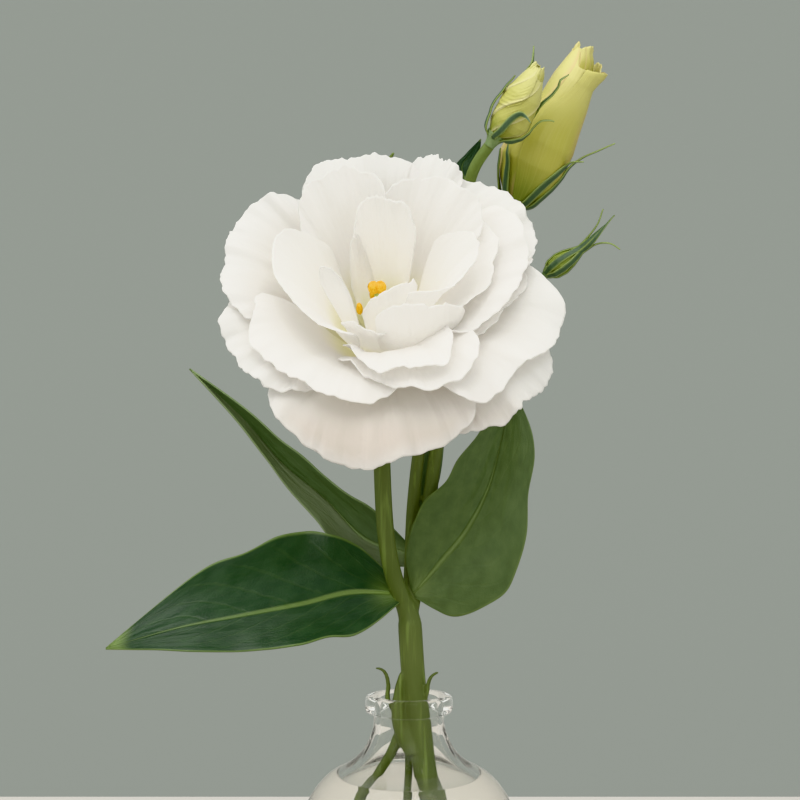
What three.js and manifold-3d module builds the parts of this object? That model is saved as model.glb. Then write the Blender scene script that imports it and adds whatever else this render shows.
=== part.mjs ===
// A lisianthus spray in a small glass bottle of water: one open double bloom,
// three buds, the leaves, and the stalks that join them.
// Millimetres, +Z up. The origin is the centre of the bottle's flat base.
import * as THREE from 'three';
import { mergeVertices } from 'three/addons/utils/BufferGeometryUtils.js';
import Module from 'manifold-3d';

const wasm = await Module();
wasm.setup();

// ---------------------------------------------------------------- driving dimensions
const GAP = 0.3;                    // air between neighbouring pieces
const BLADE = 0.7;                  // thickness of petals and leaves
const THIN_BLADE = 0.6;             // thickness of sepals

// bottle: outer radii and heights
const BODY_RADIUS = 26;
const HEEL_RADIUS = 6;              // rounding between the base and the wall
const SHOULDER_HEIGHT = 49;         // the straight wall ends here
const NECK_RADIUS = 8;
const LIP_RADIUS = 9.9;
const LIP_HEIGHT = 4;
const BOTTLE_HEIGHT = 84;
const WALL = 2;
const FLOOR = 4;                    // thickness of the glass base
const MOUTH_RADIUS = 6.6;           // inside of the neck
const WATER_LEVEL = 64.3;
const BOTTLE_SIDES = 32;
const HOLE_OVERRUN = 3;             // the holes in the water run on below the stalks' cut ends

// bloom: where it sits and which way it faces
const RECEPTACLE = new THREE.Vector3(-6, -3, 162.5);
const BLOOM_ELEVATION = 46;         // degrees above the horizontal, facing the front
const BLOOM_LEAN = -3;              // degrees to the left
const CLAW_RADIUS = 2.2;            // ring on which the petals are rooted
const PETAL_REACH = 44;             // arc length over which a petal's curve is given
const BEND_AT = 0.42;               // share of that arc where the throat ends
const CURL_FROM = 0.45;             // share of that arc where a curled petal begins to turn
const CORNER = 0.09;                // share of its length that a petal loses at its rounded corners

// stalks
const STEM_RADIUS = 2.75;
const BLOOM_STALK_RADIUS = 1.9;

// ---------------------------------------------------------------- small mathematics
const lerp = THREE.MathUtils.lerp;
const rad = THREE.MathUtils.degToRad;
const point = (x, y, z) => new THREE.Vector3(x, y, z);

/** Point at share t of a smooth curve through the given [x, y, z] points. */
function spline(points, t) {
  const last = points.length - 1;
  const place = Math.min(Math.max(t, 0), 1) * last;
  const i = Math.min(Math.floor(place), last - 1);
  const f = place - i;
  const p1 = points[i];
  const p2 = points[i + 1];
  const p0 = points[i - 1] ?? p1.map((c, k) => 2 * c - p2[k]);
  const p3 = points[i + 2] ?? p2.map((c, k) => 2 * c - p1[k]);
  return p1.map((c, k) => c + 0.5 * f * (p2[k] - p0[k]
    + f * (2 * p0[k] - 5 * c + 4 * p2[k] - p3[k] + f * (3 * (c - p2[k]) + p3[k] - p0[k]))));
}

// ---------------------------------------------------------------- solids
/** BufferGeometry to manifold solid. */
function solid(geometry) {
  const bare = geometry.clone();
  bare.deleteAttribute('normal');
  bare.deleteAttribute('uv');
  const merged = mergeVertices(bare, 1e-4);
  return new wasm.Manifold(new wasm.Mesh({
    numProp: 3,
    vertProperties: new Float32Array(merged.attributes.position.array),
    triVerts: new Uint32Array(merged.index.array),
  }));
}

/** Manifold solid to BufferGeometry, flat shaded. */
function geometryOf(manifold) {
  const { vertProperties, triVerts } = manifold.getMesh();
  const geometry = new THREE.BufferGeometry();
  geometry.setAttribute('position', new THREE.Float32BufferAttribute(vertProperties, 3));
  geometry.setIndex(Array.from(triVerts));
  geometry.computeVertexNormals();
  return geometry;
}

const join = (solids) => solids.reduce((whole, next) => whole.add(next));

/** The joined solids without the loose scraps that a cut or a join leaves. */
const largest = (solids) => join(solids).decompose()
  .reduce((best, body) => (body.volume() > best.volume() ? body : best));

/** Indexed geometry from corner points and triangles. */
function facets(corners, triangles) {
  const geometry = new THREE.BufferGeometry();
  geometry.setAttribute('position', new THREE.Float32BufferAttribute(corners.flatMap((c) => c.toArray()), 3));
  geometry.setIndex(triangles.flat());
  return geometry;
}

/**
 * Closed thin sheet over place(u, v), u from -1 to 1 and v from 0 to 1.
 * Both faces are split into triangles alike, so that they never cross.
 */
function sheet(place, acrossSteps, alongSteps, thickness = BLADE) {
  const wide = acrossSteps + 1;
  const count = wide * (alongSteps + 1);
  const step = 0.02;
  const upper = [];
  const lower = [];
  for (let j = 0; j <= alongSteps; j++) {
    for (let i = 0; i <= acrossSteps; i++) {
      const u = -1 + 2 * i / acrossSteps;
      const v = j / alongSteps;
      const middle = place(u, v);
      const across = place(Math.min(u + step, 1), v).sub(place(Math.max(u - step, -1), v));
      const along = place(u, Math.min(v + step, 1)).sub(place(u, Math.max(v - step, 0)));
      const half = across.cross(along).normalize().multiplyScalar(thickness / 2);
      upper.push(middle.clone().add(half));
      lower.push(middle.clone().sub(half));
    }
  }
  const triangles = [];
  const wall = (a, b) => triangles.push([a, a + count, b], [b, a + count, b + count]);
  for (let j = 0; j < alongSteps; j++) {
    for (let i = 0; i < acrossSteps; i++) {
      const a = j * wide + i;
      const [b, c, d] = [a + 1, a + wide, a + wide + 1];
      triangles.push([a, b, c], [b, d, c]);
      triangles.push([a + count, c + count, b + count], [b + count, c + count, d + count]);
    }
  }
  for (let i = 0; i < acrossSteps; i++) {
    wall(i, i + 1);
    wall(alongSteps * wide + i + 1, alongSteps * wide + i);
  }
  for (let j = 0; j < alongSteps; j++) {
    wall((j + 1) * wide, j * wide);
    wall((j + 1) * wide - 1, (j + 2) * wide - 1);
  }
  return solid(facets([...upper, ...lower], triangles));
}

/** Closed solid through rings of equal length, with a fan over each end. */
function rings(rows) {
  const sides = rows[0].length;
  const corners = rows.flat();
  const triangles = [];
  for (let j = 0; j < rows.length - 1; j++) {
    for (let i = 0; i < sides; i++) {
      const a = j * sides + i;
      const b = j * sides + (i + 1) % sides;
      triangles.push([a, b, a + sides], [b, b + sides, a + sides]);
    }
  }
  const middle = (row) => row.reduce((sum, c) => sum.add(c), point(0, 0, 0)).divideScalar(sides);
  const start = corners.push(middle(rows[0])) - 1;
  const end = corners.push(middle(rows.at(-1))) - 1;
  const lastRow = (rows.length - 1) * sides;
  for (let i = 0; i < sides; i++) {
    const next = (i + 1) % sides;
    triangles.push([start, next, i], [end, lastRow + i, lastRow + next]);
  }
  return solid(facets(corners, triangles));
}

/**
 * Round stalk along a smooth curve, tapering from one radius to another. The shape that a
 * neighbour is cut with is fatter by some extra radius, and overruns both ends.
 */
function stalk({ through, radius: [first, last], sides = 6, steps = 8 }, extra = 0, overrun = extra) {
  const rows = [];
  let side = point(0, 1, 0);
  for (let j = 0; j <= steps; j++) {
    const t = j / steps;
    const here = point(...spline(through, t));
    const ahead = point(...spline(through, Math.min(t + 0.01, 1)));
    const behind = point(...spline(through, Math.max(t - 0.01, 0)));
    const tangent = ahead.sub(behind).normalize();
    side = side.clone().addScaledVector(tangent, -side.dot(tangent)).normalize();
    const other = tangent.clone().cross(side);
    const r = lerp(first, last, t) + extra;
    here.addScaledVector(tangent, { 0: -overrun, [steps]: overrun }[j] ?? 0);
    rows.push(Array.from({ length: sides }, (_, i) => {
      const angle = 2 * Math.PI * i / sides;
      return here.clone().addScaledVector(side, r * Math.cos(angle))
        .addScaledVector(other, r * Math.sin(angle));
    }));
  }
  return rings(rows);
}

/** Solid of revolution about +Z through [radius, height] pairs. */
function turned(profile, sides = BOTTLE_SIDES) {
  return solid(new THREE.LatheGeometry(profile.map(([r, z]) => new THREE.Vector2(r, z)), sides)
    .rotateX(Math.PI / 2));
}

// ---------------------------------------------------------------- bottle and water
/** Points of an arc in the profile plane, from one angle to another, in degrees. */
function arc(r, z, radius, from, to, steps) {
  return Array.from({ length: steps + 1 }, (_, i) => {
    const angle = rad(lerp(from, to, i / steps));
    return [r + radius * Math.cos(angle), z + radius * Math.sin(angle)];
  });
}

// the shoulder falls in one curve from the neck: radius and height
const SHOULDER = [[24.5, 56], [22, 61.4], [18.4, 65.6], [13.6, 68.4], [10.6, 71.2], [8.7, 74.8]];

function bottleOutside() {
  const lipFoot = BOTTLE_HEIGHT - LIP_HEIGHT;
  return [[0, 0], ...arc(BODY_RADIUS - HEEL_RADIUS, HEEL_RADIUS, HEEL_RADIUS, -90, 0, 3),
    [BODY_RADIUS, SHOULDER_HEIGHT], ...SHOULDER, [NECK_RADIUS, lipFoot - 0.6],
    [LIP_RADIUS, lipFoot + 0.5], [LIP_RADIUS, BOTTLE_HEIGHT - 0.6], [LIP_RADIUS - 0.6, BOTTLE_HEIGHT]];
}

// the inside follows the outside a wall's thickness in
const SHOULDER_INSIDE = [[22.5, 54.8], [20.2, 60], [17.2, 63.4], [12.2, 66.4], [9, 69.8], [7, 74],
  [MOUTH_RADIUS, 77]];

function bottle() {
  const inner = BODY_RADIUS - WALL;
  const heel = HEEL_RADIUS - WALL;
  return turned([...bottleOutside(), [MOUTH_RADIUS + 0.6, BOTTLE_HEIGHT], [MOUTH_RADIUS, BOTTLE_HEIGHT - 0.6],
    ...SHOULDER_INSIDE.toReversed(), [inner, SHOULDER_HEIGHT],
    ...arc(inner - heel, FLOOR + heel, heel, 0, -90, 2), [0, FLOOR]]);
}

function water() {
  const inner = BODY_RADIUS - WALL - GAP;
  const heel = HEEL_RADIUS - WALL;
  const shoulder = SHOULDER_INSIDE.filter(([, z]) => z < WATER_LEVEL).map(([r, z]) => [r - 2 * GAP, z]);
  const whole = turned([[0, FLOOR + GAP], ...arc(inner - heel, FLOOR + heel + GAP, heel, -90, 0, 2),
    [inner, SHOULDER_HEIGHT], ...shoulder, [15.2, WATER_LEVEL], [0, WATER_LEVEL]]);
  const holes = [MAIN_STEM, SIDE_SHOOT, MIDDLE_SHOOT].map((limb) => stalk(limb, GAP, HOLE_OVERRUN));
  return whole.subtract(join(holes));
}

// ---------------------------------------------------------------- stalks
// each curve runs upwards or outwards through [x, y, z] points
const MAIN_STEM = {
  through: [[13, 1, 4.9], [9, 0.5, 34], [3.9, 0, 64.5], [2.4, 0, 77], [1, 0, 88], [-0.2, 0, 107]],
  radius: [STEM_RADIUS, STEM_RADIUS], sides: 8, steps: 8,
};
const SIDE_SHOOT = {
  through: [[-18.5, 4, 4.6], [-16.5, 4, 34], [-9, 2.5, 60], [-4, 1, 70.5], [-0.5, 0, 79]],
  radius: [1, 1.3], sides: 5, steps: 8,
};
const MIDDLE_SHOOT = {
  through: [[-2.5, 6, 4.6], [-1.2, 5, 34], [-0.2, 3.2, 60], [0, 2, 70.5], [0.2, 0.5, 79]],
  radius: [0.85, 1], sides: 5, steps: 7,
};
const BLOOM_STALK = {
  through: [[-0.6, 0, 103], [-3.4, -0.8, 111], [-5, -1.2, 119], [-5.8, -0.8, 129], [-6.3, 0.8, 145],
    [-6.2, 1, 155], [-6, -1.2, 160.4]],
  radius: [BLOOM_STALK_RADIUS + 0.2, BLOOM_STALK_RADIUS], sides: 7, steps: 10,
};
const SMALL_BUD_STALK = {
  through: [[0, 0.6, 103], [0.4, 4.5, 114], [1, 7.5, 127], [3, 10.5, 143], [8, 13.5, 167], [12.2, 10, 190],
    [14.3, 5.5, 202], [19.3, 2.4, 210]],
  radius: [1.6, 1.3], steps: 11,
};
const LARGE_BUD_STALK = {
  through: [[0.6, 0.8, 103], [3.2, 5, 116], [5, 8, 130], [7, 11, 143], [12, 16.5, 165], [18, 18.5, 183],
    [24.3, 17, 194.5]],
  radius: [1.7, 1.5], steps: 9,
};
const TINY_BUD_STALK = {
  through: [[12.5, 16.8, 167], [19, 16, 171.5], [26, 12, 175], [31.8, 10, 179.3]],
  radius: [1, 0.9], sides: 5, steps: 4,
};
// a thin shoot behind the bloom, whose tip shows above the petals
const THIN_SHOOT = {
  through: [[8.4, 13.6, 168], [3, 18, 180], [-3.5, 19.5, 193], [-5, 17.5, 203], [-3.5, 15.5, 206.6]],
  radius: [0.9, 0.4], sides: 5, steps: 7,
};
// short trimmed shoots and curled tips that stand up in the bottle's mouth
const MOUTH_SHOOTS = [
  { through: [[1.5, 0, 71], [-1.6, -0.2, 75.5], [-3, -0.9, 80], [-2.9, -1.3, 85], [-1.8, -1.6, 89.3]],
    radius: [2.6, 0.6], sides: 6, steps: 5 },
  { through: [[-1, 0, 78], [-4.6, -0.6, 82.5], [-4.7, -1.2, 86.5], [-5.2, -1.6, 89], [-6.3, -1.8, 90.2],
    [-7.6, -1.8, 90.4]], radius: [0.8, 0.4], sides: 5, steps: 7 },
  { through: [[2, 0, 79], [3.9, -1.8, 84.5], [4.4, -2.2, 87.2], [5.2, -2.4, 88.8], [6.6, -2.6, 89.7]],
    radius: [0.8, 0.4], sides: 5, steps: 5 },
];
const LIMBS = [MAIN_STEM, SIDE_SHOOT, MIDDLE_SHOOT, BLOOM_STALK, SMALL_BUD_STALK, LARGE_BUD_STALK,
  TINY_BUD_STALK, THIN_SHOOT, ...MOUTH_SHOOTS];

// ---------------------------------------------------------------- bloom
const BLOOM_AXIS = point(Math.sin(rad(BLOOM_LEAN)), -Math.cos(rad(BLOOM_ELEVATION)),
  Math.sin(rad(BLOOM_ELEVATION))).normalize();
const BLOOM_RIGHT = point(0, Math.sin(rad(BLOOM_ELEVATION)), Math.cos(rad(BLOOM_ELEVATION)))
  .cross(BLOOM_AXIS).normalize();
const BLOOM_BACK = BLOOM_AXIS.clone().cross(BLOOM_RIGHT);

/** Place in the bloom: distance out and up along its axis, at an angle from its right. */
function inBloom(out, up, angle) {
  return RECEPTACLE.clone().addScaledVector(BLOOM_RIGHT, out * Math.cos(rad(angle)))
    .addScaledVector(BLOOM_BACK, out * Math.sin(rad(angle))).addScaledVector(BLOOM_AXIS, up);
}

/**
 * Slope of a petal from the bloom's axis, in radians, at an arc length from its root.
 * Petals of every opening, from 0 (closed) to 1 (open flat), nest in one family of cups.
 * A curl turns the outer part out by that many degrees more, or in where it is below 0.
 */
function petalSlope(arcLength, opening, curl) {
  const root = lerp(26, 62, opening);
  const throat = lerp(4, 46, opening);
  const rim = lerp(-4, 126, opening);
  const share = arcLength / PETAL_REACH;
  const curled = curl * Math.max(share - CURL_FROM, 0) / (1 - CURL_FROM);
  if (share < BEND_AT) {
    return rad(lerp(root, throat, THREE.MathUtils.smoothstep(share / BEND_AT, 0, 1)));
  }
  return rad(lerp(throat, rim, ((share - BEND_AT) / (1 - BEND_AT)) ** 1.15) + curled);
}

/** Distance out, distance up and slope at an arc length along a cup of that opening. */
function cup(arcLength, opening, curl = 0, steps = 20) {
  const part = arcLength / steps;
  let out = CLAW_RADIUS;
  let up = 0;
  for (let i = 0; i < steps; i++) {
    const slope = petalSlope((i + 0.5) * part, opening, curl);
    out += Math.sin(slope) * part;
    up += Math.cos(slope) * part;
  }
  return [out, up, petalSlope(arcLength, opening, curl)];
}

/** Value at u from -1 to 1 of the parabola through three values. */
const across = ([low, middle, high], u) => (
  middle + (high - low) / 2 * u + ((high + low) / 2 - middle) * u * u);

/** Place on a petal: u from -1 to 1 across it, v from 0 at its root to 1 at its rim. */
function onPetal({ at, half, reach, open, wave: [height, count, phase], curl }, u, v) {
  const [length] = spline(reach.map((mm) => [mm]), (u + 1) / 2);
  const width = half * (0.6 + 0.4 * Math.sin(Math.min(1, 1.1 * v) * Math.PI / 2));
  const [out, up, slope] = cup(v * length * (1 - CORNER * Math.abs(u) ** 6), across(open, u), curl);
  const ripple = height * v ** 4 * (Math.sin(count * u * Math.PI + phase)
    + 0.45 * Math.sin(2.3 * count * u * Math.PI + 1.7 * phase));
  return inBloom(out - Math.cos(slope) * ripple, up + Math.sin(slope) * ripple, at + u * width);
}

// at: direction from the bloom's right, anticlockwise seen from the front; half: half its width; both
// in degrees. reach: arc lengths at even steps from one side to the other. open: opening at one side,
// in the middle and at the other side. wave: height, number and phase of the ripples along its rim.
const PETALS = [
  // outer whorl
  { at: 266, half: 45, reach: [37, 42, 45, 46.5, 45.3, 44.5, 40],
    open: [0.98, 1.04, 1.01], wave: [1, 2.2, 0.3] },
  { at: 320, half: 31, reach: [40, 43.5, 44.3, 45.5, 39], open: [1.12, 1.09, 1.03], wave: [0.9, 1.6, 1.3] },
  { at: 27, half: 36, reach: [38, 42.3, 44, 43.5, 39], open: [0.79, 0.75, 0.63], wave: [1.2, 2.4, 0.9] },
  { at: 62, half: 15, reach: [40, 42.8, 44.4, 44.6, 40], open: [0.6, 0.59, 0.58], wave: [0.8, 1.4, 2.9] },
  { at: 100, half: 33, reach: [42, 41.8, 43, 42.4, 36], open: [0.6, 0.56, 0.62], wave: [0.8, 2, 3.9] },
  { at: 160, half: 41, reach: [33, 42.5, 42.9, 41.6, 39], open: [0.66, 0.7, 0.77], wave: [1.2, 1.5, 4.3] },
  { at: 213, half: 31, reach: [38.5, 40.8, 41.6, 40.4, 37.5], open: [0.77, 0.87, 0.92], wave: [1.1, 2, 5.3] },
  // middle whorl
  { at: 332, half: 41, reach: [33, 41.5, 42.5, 40.8, 42, 46.2, 46, 43.5, 38],
    open: [0.9, 0.96, 0.87], wave: [0.9, 2.6, 2] },
  { at: 239, half: 47, reach: [38, 39, 40.4, 39.6, 38.4, 40.5, 38.9, 38, 33],
    open: [0.63, 0.8, 0.86], wave: [0.7, 2.2, 0.5] },
  { at: 343, half: 30, reach: [29, 32.2, 35, 38, 39], open: [0.78, 0.845, 0.8], wave: [0.7, 1.8, 2.1] },
  { at: 354, half: 42, reach: [34, 36.3, 40.5, 43.6, 41], open: [0.69, 0.72, 0.61], wave: [1, 2.4, 3.3] },
  { at: 52, half: 38, reach: [40, 42, 41.3, 39.2, 34], open: [0.5, 0.4, 0.24], wave: [0.7, 1.8, 4] },
  { at: 114, half: 34, reach: [40, 41.5, 42, 41, 36], open: [0.27, 0.36, 0.42], wave: [0.6, 1.6, 0.2] },
  { at: 285, half: 38, reach: [30, 33.5, 41.5, 41, 37], open: [0.75, 0.79, 0.75], wave: [0.9, 2.6, 1.6] },
  { at: 279, half: 35, reach: [27, 34, 40.5, 41, 35], open: [0.61, 0.67, 0.64], wave: [0.8, 2.4, 0.7] },
  // inner whorl
  { at: 0, half: 46, reach: [32.5, 33.5, 36.5, 38, 32], open: [0.58, 0.6, 0.5], wave: [0.7, 1.6, 5] },
  { at: 344, half: 43, reach: [36, 37, 37.5, 40, 33], open: [0.23, 0.43, 0.28], wave: [0.5, 1.2, 1.7] },
  { at: 196, half: 60, reach: [29, 37.8, 38.8, 34.5, 37], open: [0.35, 0.415, 0.5], wave: [0.4, 1, 3.7] },
  { at: 262, half: 21, reach: [30, 31.5, 30, 28, 25], open: [0.4, 0.43, 0.47], wave: [0.4, 1.4, 3] },
  { at: 300, half: 30, reach: [31, 35, 37.5, 38, 35],
    open: [0.45, 0.74, 0.85], wave: [0.5, 1.2, 2.2], curl: -120 },
  { at: 296, half: 46, reach: [25, 30, 32, 30.5, 28], open: [0.12, 0.12, 0.13], wave: [0.4, 1.2, 4.4] },
  { at: 230, half: 12, reach: [30, 38, 43, 40, 31], open: [0.26, 0.2, 0.15], wave: [0.2, 1, 0] },
  { at: 118, half: 20, reach: [18, 26, 30, 27, 18], open: [0.09, 0.09, 0.09], wave: [0.3, 1.2, 1] },
  { at: 77, half: 44, reach: [33, 38.5, 39, 38, 31], open: [0.12, 0.1, 0.12], wave: [0.5, 1.6, 2.6] },
];

/** Solid of revolution about the bloom's axis through [radius, height] pairs. */
function turnedInBloom(profile, sides) {
  const round = Array.from({ length: sides }, (_, i) => 360 * i / sides);
  return rings(profile.map(([r, up]) => round.map((angle) => inBloom(r, up, angle))));
}

function bloomPetals() {
  const cushion = turnedInBloom([[2.4, -0.5], [4, 0.4], [4.4, 1.4], [2.4, 1.6]], 12);
  const petals = PETALS.map((petal) => {
    const strips = Math.max(6, petal.reach.length - 1);
    return sheet((u, v) => onPetal(petal, u, 0.03 + 0.97 * v), strips, 4);
  });
  return largest([cushion, ...petals]);
}

// ovary, style and two-lobed stigma, one grown piece
const OVARY = [[1.2, 1.9], [2.4, 3], [2.7, 6], [2.5, 10], [1.5, 13.5], [0.8, 15], [0.8, 19.5]];
const STIGMA_HEIGHT = 20.4;

function pistil() {
  const lobes = [0, 180].map((angle) => {
    const centre = inBloom(0.75, STIGMA_HEIGHT, angle);
    const lobe = new THREE.SphereGeometry(1.3, 8, 6).scale(1, 1, 1.25);
    return solid(lobe.translate(...centre.toArray()));
  });
  return join([turnedInBloom(OVARY, 9), ...lobes]);
}

const STAMENS = 5;

/** Stamens round the ovary, on the thin ring where they part from the throat. */
function stamens() {
  const ring = turnedInBloom([[3.85, 5], [3.85, 5.8]], 12)
    .subtract(turnedInBloom([[3.15, 4], [3.15, 7]], 12));
  const parts = Array.from({ length: STAMENS }, (_, k) => {
    const angle = 360 * (k + 0.5) / STAMENS;
    const course = [[3.5, 5.4], [4.2, 12], [4.3, 15.5]];
    const [foot, top, tip] = course.map(([r, up]) => inBloom(r, up, angle).toArray());
    return [stalk({ through: [foot, top], radius: [0.4, 0.4], sides: 4, steps: 1 }),
      stalk({ through: [top, tip], radius: [0.8, 0.6], sides: 5, steps: 1 })];
  });
  return join([ring, ...parts.flat()]);
}

// ---------------------------------------------------------------- buds
// base and tip: the ends of the bud's axis. profile: [height, radius, shift to the right] rows.
// sepals: [height, distance from the bud's skin, direction from its right] rows, from root to tip.
const LARGE_BUD = {
  base: point(24.3, 17, 194.9), tip: point(40.2, 15, 230.3), ridges: 0.05, twist: 5,
  profile: [[0, 2.4, 0], [1.5, 3.7, 0.2], [4, 5.4, 0], [6.4, 6.5, -0.2], [10, 7.6, -0.5], [15.5, 7.5, -0.3],
    [20.6, 6.6, -0.1], [25.9, 5.5, 0.5], [31.2, 4.7, 0.5], [34, 3.8, 0.3], [36.5, 2.5, -0.3], [38.4, 1, -1.1]],
  lips: [[180, 0.9, 39.4], [30, 2.9, 39.4], [-25, 5.5, 36.9], [15, 6.9, 35.4]],
  sepals: [
    [[0.5, 1.3, 68], [5.4, 0.8, 57], [9.4, 0.8, 44], [12.3, 1, 32], [14, 2.1, 34], [15.4, 5.1, 35]],
    [[0.5, 1.3, 38], [4, 0.8, 30], [8, 0.8, 20], [12.3, 1, 12], [15.7, 2.6, 10], [18.9, 5.8, 10],
      [22, 8.9, 10]],
    [[0.5, 1.3, 134], [4.9, 0.8, 133], [8.5, 0.8, 133], [12.5, 0.8, 145]],
    [[0.5, 1.3, 190], [4, 0.8, 175], [7.5, 0.8, 162], [10.4, 0.8, 158]],
    [[0.5, 1.3, 270], [8, 0.8, 268], [16, 0.9, 266]],
  ],
};
const SMALL_BUD = {
  base: point(19.4, 2.2, 210.6), tip: point(29, -1, 225.4), ridges: 0.05, twist: 5,
  profile: [[0, 1.9, 0.2], [1, 2.8, 0.6], [2.6, 3.9, 1], [4.4, 4.4, 1.1], [7.2, 4.4, 0.8], [11, 4, 0.6],
    [13.9, 3, 0.4], [16.1, 2.1, 0.1], [17.8, 1, -0.4]],
  lips: [[180, 0.9, 18.5], [20, 1.2, 18.4], [-100, 1.2, 18.2]],
  sepals: [
    [[0.4, 1.3, 160], [3.2, 0.9, 168], [5.5, 1.1, 170], [8.7, 0.8, 170], [11.9, 0.8, 170], [13.7, 1, 170]],
    [[0.4, 1.3, 235], [3, 1, 235], [6.5, 0.8, 235], [12, 0.8, 232], [16, 0.9, 230], [18.1, 1.5, 230],
      [20.9, 4, 230]],
    [[0.4, 1.3, 97], [4.6, 0.8, 94], [7.4, 0.9, 80], [7.9, 1.6, 66], [7.6, 4.2, 60]],
    [[0.4, 1.3, 40], [2.2, 1, 22], [4.8, 0.8, 5], [7.7, 1.6, 0], [9.2, 3.4, 0], [9.7, 4.6, 0]],
    [[0.4, 1.3, 300], [2.4, 1.1, 307], [5, 0.9, 315], [9, 0.8, 328], [11.2, 1.3, 330], [13.9, 3.3, 330],
      [17.7, 5.8, 330], [19.8, 6.9, 330]],
  ],
};
const TINY_BUD = {
  base: point(31.9, 10, 179.5), tip: point(39.6, 9, 185.1), ridges: 0.04, twist: 3,
  profile: [[0, 1, 0], [1.2, 1.6, 0], [3.2, 1.9, 0], [5.4, 1.6, 0], [7.4, 1, 0], [8.8, 0.5, 0]],
  lips: [],
  sepals: [
    [[0.3, 0.9, 185], [1.6, 0.8, 187], [4, 0.7, 188], [9.3, 0.6, 188], [14.8, 1.8, 182], [18.3, 4, 180]],
    [[0.3, 0.9, 110], [1.6, 0.8, 112], [4, 0.7, 115], [9.3, 0.6, 120], [14, 0.8, 140], [17.2, 0.8, 175]],
    [[0.3, 0.9, 60], [1.6, 0.8, 60], [4, 0.7, 60], [9.3, 0.6, 62], [14, 0.8, 110], [19.6, 1.4, 170]],
    [[0.3, 0.9, 5], [1.6, 0.8, 5], [4, 0.7, 5], [9.3, 0.6, 5], [12.5, 0.7, 5], [15, 2.3, 5], [16.1, 4.7, 5]],
    [[0.3, 0.9, 280], [1.6, 0.8, 280], [4, 0.7, 280], [9.5, 0.7, 280]],
  ],
};

/** Place in a bud: height along its axis, distance out, direction from its right. */
function inBud({ base, tip, profile }, height, out, angle) {
  const axis = tip.clone().sub(base).normalize();
  const front = point(0, -1, 0).addScaledVector(axis, axis.y).normalize();
  const right = axis.clone().cross(front);
  const [, shift] = budRow(profile, height);
  return base.clone().addScaledVector(axis, height)
    .addScaledVector(right, shift + out * Math.cos(rad(angle)))
    .addScaledVector(front, out * Math.sin(rad(angle)));
}

/** Radius and sideways shift of a bud at a height, straight between the rows of its profile. */
function budRow(profile, height) {
  const k = Math.min(Math.max(profile.findIndex(([z]) => z > height), 1), profile.length - 1);
  const top = profile.at(-1);
  const [low, high] = height >= top[0] ? [top, top] : [profile[k - 1], profile[k]];
  const share = high[0] === low[0] ? 0 : Math.max((height - low[0]) / (high[0] - low[0]), 0);
  return [lerp(low[1], high[1], share), lerp(low[2], high[2], share)];
}

/** A ribbon along a curve, its faces turned towards a direction, ending in a point. */
function ribbon(curve, halfWidth, facing, steps, thickness = THIN_BLADE) {
  const place = (u, v) => {
    const here = curve(v);
    const tangent = curve(Math.min(v + 0.02, 1)).sub(curve(Math.max(v - 0.02, 0)));
    const side = tangent.cross(facing(v)).normalize();
    const width = halfWidth * Math.max(Math.sin(Math.PI * (0.22 + 0.78 * v)) ** 0.8, 0.16);
    return here.addScaledVector(side, u * width);
  };
  return sheet(place, 1, steps, thickness);
}

/** Closed bud: petals rolled round each other, with the loose lips at its top. */
function bud(form) {
  const sides = 15;
  const total = form.profile.at(-1)[0];
  const rows = form.profile.map(([height, radius]) => Array.from({ length: sides }, (_, i) => {
    const angle = -360 * i / sides;
    const fold = 1 + form.ridges * Math.cos(5 * rad(angle) - form.twist * height / total);
    return inBud(form, height, radius * fold, angle);
  }));
  const neck = total * 0.84;
  const lips = form.lips.map(([angle, out, height]) => {
    const start = [neck, budRow(form.profile, neck)[0] * 0.6];
    const course = [start, [(height + neck) / 2, out * 0.75], [height, out]];
    const outward = inBud(form, total, 1, angle).sub(inBud(form, total, 0, angle));
    const curve = (v) => {
      const [up, reach] = spline(course, v);
      return inBud(form, up, reach, angle);
    };
    return ribbon(curve, total * 0.058, () => outward, 3, BLADE);
  });
  return join([rings(rows), ...lips]);
}

/** Calyx of a bud: the cup on its stalk and the narrow sepals that stand from it. */
function calyx(form, stalkRadius, sepalWidth) {
  const cupRadius = form.profile[0][1];
  const rows = [[-2.4, stalkRadius * 0.8], [-0.9, cupRadius + 0.3], [-0.35, cupRadius + 0.5]];
  const round = Array.from({ length: 10 }, (_, i) => -36 * i);
  const cupSolid = rings(rows.map(([height, r]) => round.map((angle) => inBud(form, height, r, angle))));
  const sepals = form.sepals.map((sepal) => {
    const course = [[-0.8, 0, sepal[0][2]], ...sepal];
    const onSkin = (v) => {
      const [height, skin, angle] = spline(course, v);
      return inBud(form, height, budRow(form.profile, height)[0] * (1 + form.ridges) + skin, angle);
    };
    const facing = (v) => {
      const [height, , angle] = spline(course, v);
      return inBud(form, height, 1, angle).sub(inBud(form, height, 0, angle));
    };
    return ribbon(onSkin, sepalWidth, facing, 8);
  });
  return join([cupSolid, ...sepals]);
}

const SEPAL_OPENING = 1.3;          // wider than any petal, so that the sepals lie under them
const SEPAL_WIDTH = 4.4;

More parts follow.
